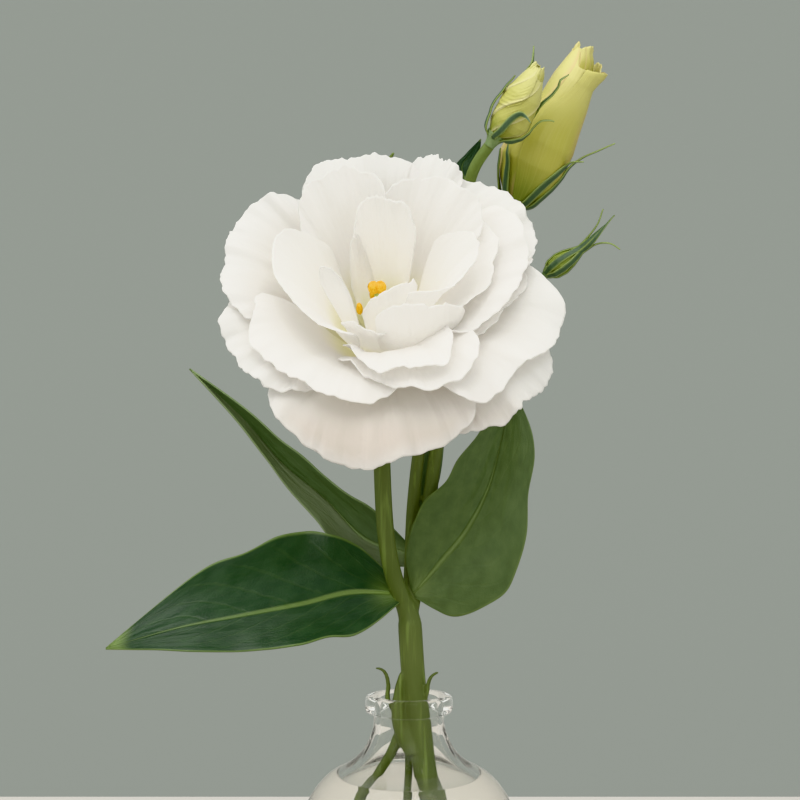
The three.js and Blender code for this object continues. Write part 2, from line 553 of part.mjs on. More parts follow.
/** Calyx under the open bloom: the flared end of its stalk and five spread sepals. */
function bloomCalyx() {
  const cupSolid = turnedInBloom([[BLOOM_STALK_RADIUS * 0.9, -5], [2.6, -2.6], [3.8, -0.85]], 10);
  const sepals = Array.from({ length: 5 }, (_, k) => {
    const angle = 72 * k + 30;
    const place = (u, v) => {
      const [out, up] = cup(1 + 19 * v, SEPAL_OPENING);
      const halfWidth = SEPAL_WIDTH / 2 * Math.max(Math.sin(Math.PI * (0.25 + 0.75 * v)), 0.14);
      const side = BLOOM_AXIS.clone().cross(inBloom(1, 0, angle).sub(inBloom(0, 0, angle)));
      return inBloom(out - 0.8, up - 2.1, angle).addScaledVector(side, u * halfWidth);
    };
    return sheet(place, 2, 4, THIN_BLADE);
  });
  return join([cupSolid, ...sepals]);
}

// ---------------------------------------------------------------- leaves
// each leaf is drawn by three curves through [x, y, z] points, from its base to its tip
const LEAVES = {
  leaf_low_left: {
    rib: [[-1, 0, 107], [-13, -4, 108], [-24, -9, 106], [-38, -14, 104], [-51, -18, 102], [-67, -22, 98]],
    left: [[-1, 1, 108], [-11, 5, 117], [-21, 6, 120], [-33, 2, 118], [-48, -8, 112], [-67, -22, 98]],
    right: [[-1, -1, 106], [-11, -9, 100], [-22, -15, 98], [-35, -18, 97], [-50, -21, 97.5], [-67, -22, 98]],
  },
  leaf_right: {
    rib: [[1, 0.5, 107], [7, 2.5, 114], [13, 6, 121], [18, 10, 130], [21, 14, 140], [24, 19, 153]],
    left: [[0.5, 1, 108], [-0.7, 0.3, 117.5], [2.8, 2, 126], [9.6, 6, 134.5], [16.4, 12, 143.5], [24, 19, 153]],
    right: [[1.5, 0, 106], [10, 1, 102], [22, 4, 107], [27, 9, 124], [28.6, 13, 140], [24, 19, 153]],
  },
  leaf_high_left: {
    rib: [[0, 6, 117], [-10, 10, 120], [-19, 14, 127], [-29, 17, 135], [-39, 19, 146], [-51, 20, 157]],
    left: [[-0.5, 6.5, 118], [-8, 8, 125], [-17, 10, 131], [-27, 13, 139], [-38, 17, 148], [-51, 20, 157]],
    right: [[-0.5, 5.5, 116], [-13, 9, 116], [-21, 11, 123], [-29, 14, 131], [-38, 17, 143], [-51, 20, 157]],
  },
  leaf_behind: {
    rib: [[1, 7, 118], [3, 11, 126], [4.5, 14, 135], [6, 17, 143], [7, 20, 152]],
    left: [[0, 7.5, 118], [1, 10.5, 126], [2, 13.5, 135], [4, 17, 143], [7, 20, 152]],
    right: [[1.6, 7.5, 118], [5.5, 11.5, 126], [7.5, 14, 135], [8, 17, 143], [7, 20, 152]],
  },
  bract_top: {
    rib: [[12.9, 8.4, 200], [12, 9, 203.4], [13.8, 8.7, 206.2], [16.3, 7.5, 209.7]],
    left: [[12.4, 8.7, 199.8], [10.3, 9.4, 203], [12.7, 9, 206], [16.3, 7.5, 209.7]],
    right: [[13.5, 8.3, 200.4], [13.9, 8.5, 203.6], [14.9, 8.3, 206.2], [16.3, 7.5, 209.7]],
  },
};
const LEAF_TIP = 0.97;              // a leaf ends just short of the point where its curves meet

/** Place on a leaf: u from its left margin, -1, over the rib to its right margin, 1. */
function onLeaf({ rib, left, right }, u, v) {
  const middle = point(...spline(rib, v * LEAF_TIP));
  const margin = point(...spline(u < 0 ? left : right, v * LEAF_TIP));
  return middle.lerp(margin, Math.abs(u));
}

function leaf(form) {
  const blade = sheet((u, v) => onLeaf(form, u, v), 4, 8);
  const around = join(LIMBS.map((limb) => stalk(limb, GAP)));
  return largest([blade.subtract(around)]);
}

// ---------------------------------------------------------------- the whole spray
function stems() {
  return largest([...LIMBS.map((limb) => stalk(limb)), bloomCalyx(), calyx(LARGE_BUD, 1.5, 0.9),
    calyx(SMALL_BUD, 1.3, 0.7), calyx(TINY_BUD, 0.9, 0.8)]);
}

/** A named piece of the model in its own colour. */
function piece(name, manifold, look) {
  const mesh = new THREE.Mesh(geometryOf(manifold), new THREE.MeshStandardMaterial(look));
  mesh.name = name;
  return mesh;
}

const lisianthus = new THREE.Group();
lisianthus.add(
  piece('bottle', bottle(), { color: 0xe6ece8, roughness: 0.05, transparent: true, opacity: 0.35 }),
  piece('water', water(), { color: 0xdfe6d8, roughness: 0.02, transparent: true, opacity: 0.4 }),
  piece('stems', stems(), { color: 0x5c6931, roughness: 0.55 }),
  piece('bloom_petals', bloomPetals(), { color: 0xf2f0ea, roughness: 0.6 }),
  piece('pistil', pistil(), { color: 0xb7bd4e, roughness: 0.5 }),
  piece('stamens', stamens(), { color: 0xe0a83a, roughness: 0.7 }),
  piece('bud_large', bud(LARGE_BUD), { color: 0xc3bd66, roughness: 0.5 }),
  piece('bud_small', bud(SMALL_BUD), { color: 0xb8ba62, roughness: 0.5 }),
  piece('bud_tiny', bud(TINY_BUD), { color: 0x758239, roughness: 0.55 }),
  ...Object.entries(LEAVES).map(([name, form]) => (
    piece(name, leaf(form), { color: 0x3c5a2c, roughness: 0.45 }))),
);

export default lisianthus;
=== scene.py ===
# %% [markdown]
# # A lisianthus in a small glass bottle
# One open white bloom, three buds, leaves and stalks stand in a clear bottle of water. The
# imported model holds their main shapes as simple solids. This script keeps the place and form
# of each solid, and gives it the folds, veins and finishes that a few faces can't show.
# Blender works in metres; the tables below are in millimetres. +Z is up, -Y is the front.

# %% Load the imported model
import math

import bmesh
import bpy
import numpy as np
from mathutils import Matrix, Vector


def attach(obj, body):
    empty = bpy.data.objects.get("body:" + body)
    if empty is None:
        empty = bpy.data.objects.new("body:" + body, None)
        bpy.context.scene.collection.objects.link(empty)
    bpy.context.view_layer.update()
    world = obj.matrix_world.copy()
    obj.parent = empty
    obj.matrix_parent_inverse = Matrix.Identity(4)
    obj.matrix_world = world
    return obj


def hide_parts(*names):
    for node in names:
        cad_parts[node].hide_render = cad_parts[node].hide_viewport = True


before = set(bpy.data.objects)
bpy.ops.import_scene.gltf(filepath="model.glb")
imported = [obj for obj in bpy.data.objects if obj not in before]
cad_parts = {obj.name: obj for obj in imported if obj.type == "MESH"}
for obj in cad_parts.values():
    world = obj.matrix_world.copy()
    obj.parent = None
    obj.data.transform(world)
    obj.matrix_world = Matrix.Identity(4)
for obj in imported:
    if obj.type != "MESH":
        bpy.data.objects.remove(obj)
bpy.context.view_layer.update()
MM = 0.001
print("nodes:", ", ".join(sorted(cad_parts)))

# %% [markdown]
# ## Camera
# A long lens a little above the bloom, tilted down by a few degrees, so that one looks into
# the bloom and across the bottle's mouth. It comes first, because all else is judged through it.

# %% Camera
CAMERA_PLACE = (-0.00204, -0.69784, 0.20600)
CAMERA_TILT = 4.5                   # degrees below the horizontal
CAMERA_LENS = 140                   # focal length in mm
SENSOR_WIDTH = 36
camera = bpy.data.objects.new("camera", bpy.data.cameras.new("camera"))
camera.data.lens = CAMERA_LENS
camera.data.sensor_width = SENSOR_WIDTH
camera.location = CAMERA_PLACE
camera.rotation_euler = (math.radians(90 - CAMERA_TILT), 0, 0)
bpy.context.scene.collection.objects.link(camera)
bpy.context.scene.camera = camera
print("camera at", CAMERA_PLACE, "lens", camera.data.lens)

# %% [markdown]
# ## Floor, wall and light
# A plain pale floor with a plain grey wall far behind it. One large soft lamp stands high in
# front and a little to the left, and the grey of the surroundings fills the shade. White
# petals need this softness: a small lamp would burn out their tops and turn the folds black.

# %% Floor, wall and light
FLOOR_HALF = 2.5                    # these places and sizes are in metres
FLOOR_EDGE = 0.291                  # how far behind the bottle the floor ends
FLOOR_COLOUR = (0.60, 0.57, 0.53)
WALL_HALF = 7.0
WALL_PLACE = 2.6                    # far enough for a camera to stand between it and the bottle
WALL_FOOT = -3
WALL_TOP = 8
WALL_COLOUR = (0.300, 0.318, 0.292)
LAMP_PLACE = (-0.20, -0.66, 1.40)
LAMP_TARGET = (0, 0, 0.17)
LAMP_SIZE = 1.6
LAMP_POWER = 19.0
LAMP_COLOUR = (1, 0.985, 0.975)
SURROUNDINGS_COLOUR = (0.86, 0.88, 0.86)
SURROUNDINGS_STRENGTH = 1.15


def add_stage(name, corners, colour):
    """A flat stage piece in one plain colour."""
    bm = bmesh.new()
    bm.faces.new([bm.verts.new(corner) for corner in corners])
    mesh = bpy.data.meshes.new(name)
    bm.to_mesh(mesh)
    bm.free()
    paint = bpy.data.materials.new(name)
    paint.use_nodes = True
    shader = paint.node_tree.nodes["Principled BSDF"]
    shader.inputs["Base Color"].default_value = (*colour, 1)
    shader.inputs["Roughness"].default_value = 0.9
    mesh.materials.append(paint)
    stage = bpy.data.objects.new(name, mesh)
    bpy.context.scene.collection.objects.link(stage)


def add_lamp(name, place, target):
    """A square soft lamp that faces a target."""
    lamp = bpy.data.lights.new(name, "AREA")
    lamp.size = LAMP_SIZE
    lamp.energy = LAMP_POWER
    lamp.color = LAMP_COLOUR
    holder = bpy.data.objects.new(name, lamp)
    holder.location = place
    aim = Vector(target) - Vector(place)
    holder.rotation_euler = aim.to_track_quat("-Z", "Y").to_euler()
    bpy.context.scene.collection.objects.link(holder)


def add_surroundings():
    """An even pale light from all sides."""
    world = bpy.data.worlds.new("surroundings")
    world.use_nodes = True
    background = world.node_tree.nodes["Background"]
    background.inputs["Color"].default_value = (*SURROUNDINGS_COLOUR, 1)
    background.inputs["Strength"].default_value = SURROUNDINGS_STRENGTH
    bpy.context.scene.world = world


add_stage("floor", [(-FLOOR_HALF, -FLOOR_HALF, 0), (FLOOR_HALF, -FLOOR_HALF, 0),
                    (FLOOR_HALF, FLOOR_EDGE, 0), (-FLOOR_HALF, FLOOR_EDGE, 0)], FLOOR_COLOUR)
add_stage("wall", [(-WALL_HALF, WALL_PLACE, WALL_FOOT), (WALL_HALF, WALL_PLACE, WALL_FOOT),
                   (WALL_HALF, WALL_PLACE, WALL_TOP), (-WALL_HALF, WALL_PLACE, WALL_TOP)], WALL_COLOUR)
add_lamp("window", LAMP_PLACE, LAMP_TARGET)
add_surroundings()
bpy.context.scene.view_settings.view_transform = "Khronos PBR Neutral"
print("stage: floor, wall, one lamp")

# %% [markdown]
# ## Curves, noise and grids
# Nearly every piece here is a sheet: a petal, a leaf, a sepal, or a stalk rolled from a sheet.
# So one helper makes a grid with bmesh and moves its vertices by a formula of u, across, and
# v, along. A smooth curve through a few points and a seeded noise are all the formulas need.

# %% Curves and noise
NOISE_CELLS = 64                    # the noise repeats after so many


def ease(x):
    """A smooth step from 0 to 1."""
    x = np.clip(x, 0, 1)
    return x * x * (3 - 2 * x)


def spline(points, share):
    """Places at shares from 0 to 1 along a smooth curve through the points."""
    points = np.asarray(points, float)
    last = len(points) - 1
    place = np.clip(share, 0, 1) * last
    i = np.minimum(place.astype(int), last - 1)
    f = (place - i)[..., None]
    ends = 2 * points[[0, -1]] - points[[1, -2]]
    padded = np.vstack([ends[:1], points, ends[1:]])
    p0, p1, p2, p3 = (padded[i + k] for k in range(4))
    return p1 + 0.5 * f * (p2 - p0 + f * (2 * p0 - 5 * p1 + 4 * p2 - p3 + f * (3 * (p1 - p2) + p3 - p0)))


def spline_of_numbers(numbers, share):
    """Numbers at shares from 0 to 1 along a smooth curve through the given ones."""
    return spline([[number] for number in numbers], share)[..., 0]


def noise(x, y, seed):
    """Smooth noise from -1 to 1, with cells of size 1."""
    table = np.random.default_rng(seed).uniform(-1, 1, (NOISE_CELLS, NOISE_CELLS))
    i, j = np.floor(x).astype(int), np.floor(y).astype(int)
    f, g = ease(x - i), ease(y - j)
    corner = [[table[(i + a) % NOISE_CELLS, (j + b) % NOISE_CELLS] for b in (0, 1)] for a in (0, 1)]
    low, high = (row[0] * (1 - g) + row[1] * g for row in corner)
    return low * (1 - f) + high * f


def unit(vectors):
    """The same directions with length 1."""
    return vectors / np.linalg.norm(vectors, axis=-1, keepdims=True)


def columns(*parts):
    """Numbers as a column each, to multiply rows of vectors."""
    return [np.asarray(part, float)[..., None] for part in parts]


print("noise at (0.5, 0.5):", round(float(noise(np.array(0.5), np.array(0.5), 1)), 3))

# %% Grids and pieces
SEAM = 1e-6                         # vertices this near are one, in metres


def add_grid(bm, place, across, along, closed=False):
    """Adds a grid whose vertices go to place(u, v): u from -1 to 1, v from 0 to 1."""
    made = bmesh.ops.create_grid(bm, x_segments=across, y_segments=along, size=1, calc_uvs=True)
    verts = made["verts"]
    u = np.array([vert.co.x for vert in verts])
    v = np.array([vert.co.y for vert in verts]) / 2 + 0.5
    for vert, spot in zip(verts, place(u, v)):
        vert.co = spot * MM
    if closed:
        bmesh.ops.remove_doubles(bm, verts=verts, dist=SEAM)


def new_mesh():
    """An empty bmesh with a UV map, which the grids fill from 0 to 1 both ways."""
    bm = bmesh.new()
    bm.loops.layers.uv.new("UVMap")
    return bm


def close_ends(bm):
    """Fills open ends and turns all faces outwards."""
    rims = [edge for edge in bm.edges if edge.is_boundary]
    bmesh.ops.holes_fill(bm, edges=rims, sides=0)
    bmesh.ops.recalc_face_normals(bm, faces=bm.faces)


def add_piece(name, bm, finish, nodes, thickness=0):
    """Turns the bmesh into a piece that rides on the root and stands for CAD nodes."""
    mesh = bpy.data.meshes.new(name)
    bm.to_mesh(mesh)
    bm.free()
    mesh.materials.append(finish)
    mesh.shade_smooth()
    piece = bpy.data.objects.new(name, mesh)
    bpy.context.scene.collection.objects.link(piece)
    if thickness:
        skin = piece.modifiers.new("thickness", "SOLIDIFY")
        skin.thickness = thickness * MM
        skin.offset = 0
        piece.modifiers.new("crisp_rim", "WEIGHTED_NORMAL")
    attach(piece, "root")
    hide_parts(*nodes)
    print(f"{name}: {len(mesh.polygons)} faces before modifiers")
    return piece


# %% [markdown]
# ## Shader sums
# A finish is a small sum of noises, ramps and colours. Wiring those by hand hides the sum, so
# a socket is wrapped in a class that lets Python's own signs add the Math nodes.

# %% Shader sums


class Value:
    """A shader socket that takes part in sums."""

    def __init__(self, finish, socket):
        self.finish = finish
        self.socket = socket

    def __add__(self, other):
        return self.finish.maths("ADD", self, other)

    def __sub__(self, other):
        return self.finish.maths("SUBTRACT", self, other)

    def __rsub__(self, other):
        return self.finish.maths("SUBTRACT", other, self)

    def __mul__(self, other):
        return self.finish.maths("MULTIPLY", self, other)

    __radd__ = __add__
    __rmul__ = __mul__


class Finish:
    """A material that is built node by node."""

    def __init__(self, name):
        self.material = bpy.data.materials.new(name)
        self.material.use_nodes = True
        self.tree = self.material.node_tree
        self.tree.nodes.clear()

    def node(self, kind, settings, sockets, output=0):
        """Adds a node, sets it, then gives its sockets their values or links."""
        made = self.tree.nodes.new("ShaderNode" + kind)
        for key, setting in settings.items():
            setattr(made, key, setting)
        for key, value in sockets.items():
            if isinstance(value, Value):
                self.tree.links.new(value.socket, made.inputs[key])
            else:
                made.inputs[key].default_value = value
        return Value(self, made.outputs[output])

    def maths(self, operation, *values):
        """A Math node."""
        return self.node("Math", {"operation": operation}, dict(enumerate(values)))

    def steps(self, value, low, high):
        """0 below low, 1 above high, smooth between."""
        return self.node("MapRange", {"interpolation_type": "SMOOTHSTEP"},
                         {"Value": value, "From Min": low, "From Max": high})

    def blend(self, mask, first, second):
        """A colour between two colours."""
        colours = [c if isinstance(c, Value) else (*c, 1) for c in (first, second)]
        return self.node("Mix", {"data_type": "RGBA"}, {0: mask, 6: colours[0], 7: colours[1]}, 2)

    def coordinate(self, kind, axis):
        """One axis of the texture coordinates of a kind."""
        return self.node("SeparateXYZ", {}, {0: self.node("TexCoord", {}, {}, kind)}, axis)

    def across(self):
        """How far across its grid a place is, from 0 to 1."""
        return self.coordinate("UV", "X")

    def along(self):
        """How far along its grid a place is, from 0 to 1."""
        return self.coordinate("UV", "Y")

    def height(self):
        """Height above the bottle's base, in metres."""
        return self.coordinate("Object", "Z")

    def noise(self, kind, cells, detail=3):
        """Noise with so many cells to each unit of the texture coordinates of a kind."""
        where = self.node("Mapping", {}, {"Vector": self.node("TexCoord", {}, {}, kind), "Scale": cells})
        return self.node("TexNoise", {}, {"Vector": where, "Scale": 1.0, "Detail": detail})

    def bump(self, height, distance):
        """Relief that only the shading shows."""
        return self.node("Bump", {}, {"Height": height, "Distance": distance, "Strength": 1.0})

    def surface(self, colour, roughness, gloss, further):
        """The shader of a closed surface: gloss is its specular level, further its other sockets."""
        return self.node("BsdfPrincipled", {}, {
            "Base Color": colour, "Roughness": roughness, "Specular IOR Level": gloss, **further})

    def thin(self, body, colour, share):
        """The shader of a thin sheet: a share of the light goes through it."""
        through = self.node("BsdfTranslucent", {}, {"Color": (*colour, 1)})
        return self.node("MixShader", {}, {0: share, 1: body, 2: through})

    def end(self, shader):
        """Gives the material its shader."""
        output = self.tree.nodes.new("ShaderNodeOutputMaterial")
        self.tree.links.new(shader.socket, output.inputs["Surface"])
        return self.material


# %% [markdown]
# ## The petals' finish
# A lisianthus petal is thin, soft and nearly white, with a creamy green at its root and fine
# lines that run to the rim. Much of the light passes through it, which is why the bloom has
# hardly a dark fold. A soft shader mixed with a translucent one does that, and a faint glow
# towards the root stands for the light that is passed from petal to petal more often than a
# render follows it. The outer petals, and most of all the ones that hang lowest, are shaded by
# the others, so their colour is a little darker and warmer.

# %% Finish of the petals
PETAL_WHITE = (0.93, 0.925, 0.915)
STREAK_WHITE = 0.965                # brightness of the fine lines, as a share of the white
PETAL_ROOT = (0.74, 0.72, 0.36)
PETAL_THROUGH = (0.93, 0.915, 0.895)    # light that has passed through a petal
# what the white turns to away from the rim, in each whorl, and on the lowest petals
SHADED = {"outer": (0.74, 0.71, 0.66), "middle": (0.88, 0.87, 0.85), "inner": PETAL_WHITE}
SHADED_BELOW = (0.66, 0.60, 0.54)
BELOW_FROM = 0.158                  # heights in metres between which the lowest petals' shade sets in
BELOW_FULL = 0.146
GLOW_AT_ROOT = {"outer": (0.08, 0.072, 0.060), "middle": (0.17, 0.160, 0.14), "inner": (0.25, 0.245, 0.22)}
GLOW_LEFT_AT_RIM = 0.35             # share of the root's glow


def petal_finish(whorl):
    """Creamy green at the root, white at the rim, and thin enough for light to pass."""
    paint = Finish("petal_white_" + whorl)
    along = paint.along()
    streaks = paint.noise("UV", (70, 2.5, 1))
    crinkles = paint.noise("UV", (26, 14, 1))
    white = paint.blend(streaks, tuple(c * STREAK_WHITE for c in PETAL_WHITE), PETAL_WHITE)
    white = paint.blend(paint.steps(along, 0.5, 0.95), SHADED[whorl], white)
    below = paint.steps(paint.height(), BELOW_FROM, BELOW_FULL) * (1 - paint.steps(along, 0.85, 1.0) * 0.5)
    white = paint.blend(below, white, SHADED_BELOW)
    colour = paint.blend(paint.steps(along, 0.1, 0.44), PETAL_ROOT, white)
    glow = GLOW_AT_ROOT[whorl]
    glow = paint.blend(paint.steps(along, 0.0, 0.95), glow, tuple(c * GLOW_LEFT_AT_RIM for c in glow))
    body = paint.surface(colour, 0.62, 0.25, {
        "Normal": paint.bump(streaks * 0.4 + crinkles * along, 0.00025), "Sheen Weight": 0.15,
        "Emission Color": glow, "Emission Strength": 1.0})
    return paint.end(paint.thin(body, PETAL_THROUGH, 0.5 - below * 0.25))


petal_finishes = {whorl: petal_finish(whorl) for whorl in GLOW_AT_ROOT}
print("petal finishes:", len(petal_finishes))

# %% [markdown]
# ## The bloom
# The petals stand in three whorls on one ring and lean back more the further out they are.
# Each follows one of a family of cups, from closed to wide open, so that they nest without
# cutting through each other. Its cup may open more at one side than at the other, which makes
# the twist of a real petal, and ripples grow towards its rim.

# %% The bloom's frame and its family of cups
RECEPTACLE = np.array([-6, -3, 162.5])
BLOOM_ELEVATION = 46                # degrees above the horizontal, facing the front
BLOOM_LEAN = -3                     # degrees to the left
CLAW_RADIUS = 2.2                   # ring on which the petals are rooted
PETAL_REACH = 44                    # arc length over which a petal's curve is given
BEND_AT = 0.42                      # share of that arc where the throat ends
CURL_FROM = 0.45                    # share of that arc where a curled petal begins to turn
# a cup's slope from the bloom's axis, in degrees, where it is closed and where it is wide open
SLOPE_AT_ROOT = (26, 62)
SLOPE_IN_THROAT = (4, 46)
SLOPE_AT_RIM = (-4, 126)
RIM_BENDS_LATE = 1.15               # above 1, the turn from throat to rim comes nearer to the rim
CUP_STEPS = 20                      # short straight steps that a cup's arc is added up from

rise, lean = math.radians(BLOOM_ELEVATION), math.radians(BLOOM_LEAN)
BLOOM_AXIS = unit(np.array([math.sin(lean), -math.cos(rise), math.sin(rise)]))
BLOOM_RIGHT = unit(np.cross([0, math.sin(rise), math.cos(rise)], BLOOM_AXIS))
BLOOM_BACK = np.cross(BLOOM_AXIS, BLOOM_RIGHT)


def in_bloom(out, up, angle):
    """Place in the bloom: out and up along its axis, at an angle in degrees from its right."""
    turn = np.radians(angle)
    right, back, up = columns(out * np.cos(turn), out * np.sin(turn), up)
    return RECEPTACLE + right * BLOOM_RIGHT + back * BLOOM_BACK + up * BLOOM_AXIS


def petal_slope(arc, opening, curl):
    """Slope from the bloom's axis at an arc length along a cup that is closed, 0, to wide open, 1."""
    root, throat, rim = (closed + (wide - closed) * opening
                         for closed, wide in (SLOPE_AT_ROOT, SLOPE_IN_THROAT, SLOPE_AT_RIM))
    share = arc / PETAL_REACH
    beyond = np.clip((share - BEND_AT) / (1 - BEND_AT), 0, None) ** RIM_BENDS_LATE
    curled = curl * np.clip(share - CURL_FROM, 0, None) / (1 - CURL_FROM)
    return np.radians(root + (throat - root) * ease(share / BEND_AT) + (rim - throat) * beyond + curled)


def cup(arc, opening, curl=0):
    """Distance out, distance up and slope at an arc length along a cup."""
    part = arc / CUP_STEPS
    out = CLAW_RADIUS
    up = 0
    for i in range(CUP_STEPS):
        slope = petal_slope((i + 0.5) * part, opening, curl)
        out = out + np.sin(slope) * part
        up = up + np.cos(slope) * part
    return out, up, petal_slope(arc, opening, curl)


print("a half-open petal 40 mm long reaches out", round(float(cup(40, 0.5)[0]), 1), "mm")

# %% The petals
# each petal: its direction from the bloom's right, anticlockwise, and half its width, in degrees;
# its arc lengths in mm at even steps from one side to the other;
# how open it is at one side, in the middle and at the other side;
# the height in mm, the number and the phase of the ripples along its rim;
# and where it has one its curl, the degrees by which its outer part turns out, or in below 0
WHORLS = {
    "outer": [
        (266, 45, (37, 42, 45, 46.5, 45.3, 44.5, 40), (0.98, 1.04, 1.01), (1.0, 2.2, 0.3)),
        (320, 31, (40, 43.5, 44.3, 45.5, 39), (1.12, 1.09, 1.03), (0.9, 1.6, 1.3)),
        (27, 36, (38, 42.3, 44, 43.5, 39), (0.79, 0.75, 0.63), (1.2, 2.4, 0.9)),
        (62, 15, (40, 42.8, 44.4, 44.6, 40), (0.60, 0.59, 0.58), (0.8, 1.4, 2.9)),
        (100, 33, (42, 41.8, 43.0, 42.4, 36), (0.60, 0.56, 0.62), (0.8, 2.0, 3.9)),
        (160, 41, (33, 42.5, 42.9, 41.6, 39), (0.66, 0.70, 0.77), (1.2, 1.5, 4.3)),
        (213, 31, (38.5, 40.8, 41.6, 40.4, 37.5), (0.77, 0.87, 0.92), (1.1, 2.0, 5.3)),
    ],
    "middle": [
        (332, 41, (33, 41.5, 42.5, 40.8, 42, 46.2, 46, 43.5, 38), (0.90, 0.96, 0.87), (0.9, 2.6, 2.0)),
        (239, 47, (38, 39, 40.4, 39.6, 38.4, 40.5, 38.9, 38, 33), (0.63, 0.80, 0.86), (0.7, 2.2, 0.5)),
        (343, 30, (29, 32.2, 35, 38, 39), (0.78, 0.845, 0.80), (0.7, 1.8, 2.1)),
        (354, 42, (34, 36.3, 40.5, 43.6, 41), (0.69, 0.72, 0.61), (1.0, 2.4, 3.3)),
        (52, 38, (40, 42, 41.3, 39.2, 34), (0.50, 0.40, 0.24), (0.7, 1.8, 4.0)),
        (114, 34, (40, 41.5, 42, 41, 36), (0.27, 0.36, 0.42), (0.6, 1.6, 0.2)),
        (285, 38, (30, 33.5, 41.5, 41, 37), (0.75, 0.79, 0.75), (0.9, 2.6, 1.6)),
        (279, 35, (27, 34, 40.5, 41, 35), (0.61, 0.67, 0.64), (0.8, 2.4, 0.7)),
    ],
    "inner": [
        (0, 46, (32.5, 33.5, 36.5, 38, 32), (0.58, 0.60, 0.50), (0.7, 1.6, 5.0)),
        (344, 43, (36, 37, 37.5, 40, 33), (0.23, 0.43, 0.28), (0.5, 1.2, 1.7)),
        (196, 60, (29, 37.8, 38.8, 34.5, 37), (0.35, 0.415, 0.50), (0.4, 1.0, 3.7)),
        (262, 21, (30, 31.5, 30, 28, 25), (0.40, 0.43, 0.47), (0.4, 1.4, 3.0)),
        (300, 30, (31, 35, 37.5, 38, 35), (0.45, 0.74, 0.85), (0.5, 1.2, 2.2), -120),
        (296, 46, (25, 30, 32, 30.5, 28), (0.12, 0.12, 0.13), (0.4, 1.2, 4.4)),
        (230, 12, (30, 38, 43, 40, 31), (0.26, 0.20, 0.15), (0.2, 1.0, 0.0)),
        (118, 20, (18, 26, 30, 27, 18), (0.09, 0.09, 0.09), (0.3, 1.2, 1.0)),
        (77, 44, (33, 38.5, 39, 38, 31), (0.12, 0.10, 0.12), (0.5, 1.6, 2.6)),
    ],
}
PETAL_THICKNESS = 0.28
PETAL_START = 0.03                  # share of its length at which a petal leaves the ring
ROWS_TO_RIM = 1.25                  # above 1, the grid's rows lie closer together towards the rim
CLAW_WIDTH = 0.6                    # a petal's angle at its root, as a share of that at its rim
CORNER = 0.09                       # share of its length that a petal loses at its rounded corners
FRINGE = 0.009                      # depth of the rim's fine teeth, as a share of the length
# height in mm of the fine folds at the rim, on a petal of the half width below; they grow with it
CRINKLE = {"outer": 0.7, "middle": 0.32, "inner": 0.16}
CRINKLE_HALF_WIDTH = 30
FIRST_SEED = 110                    # of the petals' noise
SEEDS_PER_PETAL = 10


def petal_place(crinkle, seed, at, half_width, reach, opening, wave, curl=0):
    """The formula of one petal."""
    low, middle, high = opening
    height, count, phase = wave

    def place(u, v):
        v = PETAL_START + (1 - PETAL_START) * (1 - (1 - v) ** ROWS_TO_RIM)
        teeth = noise(u * 16, v * 0, seed) + 0.5 * noise(u * 37, v * 0, seed + 1)
        lobes = noise(u * 4 + 9, v * 0, seed + 4)
        long = spline_of_numbers(reach, (u + 1) / 2)
        long = long * (1 - CORNER * abs(u) ** 6 - FRINGE * (teeth + 2.5 * lobes))
        width = half_width * (CLAW_WIDTH + (1 - CLAW_WIDTH) * np.sin(np.minimum(1, 1.1 * v) * np.pi / 2))
        bend = middle + (high - low) / 2 * u + ((high + low) / 2 - middle) * u * u
        out, up, slope = cup(v * long, bend, curl)
        ripple = height * v ** 4 * (np.sin(count * u * np.pi + phase)
                                    + 0.45 * np.sin(2.3 * count * u * np.pi + 1.7 * phase))
        folds = noise(u * 9, v * 1.5, seed + 2) + 0.45 * noise(u * 24, v * 3, seed + 3)
        ripple = ripple + crinkle * v ** 3 * folds * half_width / CRINKLE_HALF_WIDTH
        return in_bloom(out - np.cos(slope) * ripple, up + np.sin(slope) * ripple, at + u * width)

    return place


seed = FIRST_SEED
for whorl, petals in WHORLS.items():
    bm = new_mesh()
    for petal in petals:
        add_grid(bm, petal_place(CRINKLE[whorl], seed, *petal), across=72, along=44)
        seed += SEEDS_PER_PETAL
    add_piece(f"petals_{whorl}", bm, petal_finishes[whorl], ["bloom_petals"], PETAL_THICKNESS)

# %% [markdown]
# ## Pistil and stamens
# In the middle stand the green ovary, its short style and a two-lobed stigma, orange-yellow
# with pollen, with five stamens round it. The ovary is a profile rolled into a grid; each
# lobe of the stigma is a sphere that is pressed into an oval and roughened.

# %% Finishes of the pistil and stamens


def mottled_finish(name, first, second, cells, roughness, relief):
    """Two close colours that mottle a surface, with a fine grain."""
    paint = Finish(name)
    mottle = paint.noise("Object", cells, 4)
    colour = paint.blend(paint.steps(mottle, 0.3, 0.7), first, second)
    return paint.end(paint.surface(colour, roughness, 0.4, {"Normal": paint.bump(mottle, relief)}))


pistil_green = mottled_finish("pistil_green", (0.42, 0.47, 0.09), (0.56, 0.60, 0.18),
                              (400, 400, 150), 0.45, 0.0001)
pollen_yellow = mottled_finish("pollen_yellow", (0.85, 0.42, 0.02), (0.95, 0.62, 0.08),
                               (2500, 2500, 2500), 0.85, 0.00025)
print("finishes:", pistil_green.name, pollen_yellow.name)

# %% The pistil and stamens
OVARY = [[1.2, 1.9], [2.4, 3], [2.7, 6], [2.5, 10], [1.5, 13.5], [0.8, 15], [0.75, 19.5]]
STIGMA_HEIGHT = 20.4
STIGMA_SPREAD = 0.75                # of each of its two lobes from the axis
STAMENS = 5
ANTHER_RING = 4.25                  # radius on which the anthers stand
ANTHER_HEIGHT = 13.8


def turned_in_bloom(profile):
    """The formula of a round body about the bloom's axis through [radius, height] pairs."""
    def place(u, v):
        row = spline(profile, v)
        return in_bloom(row[..., 0], row[..., 1], 180 * u)
    return place


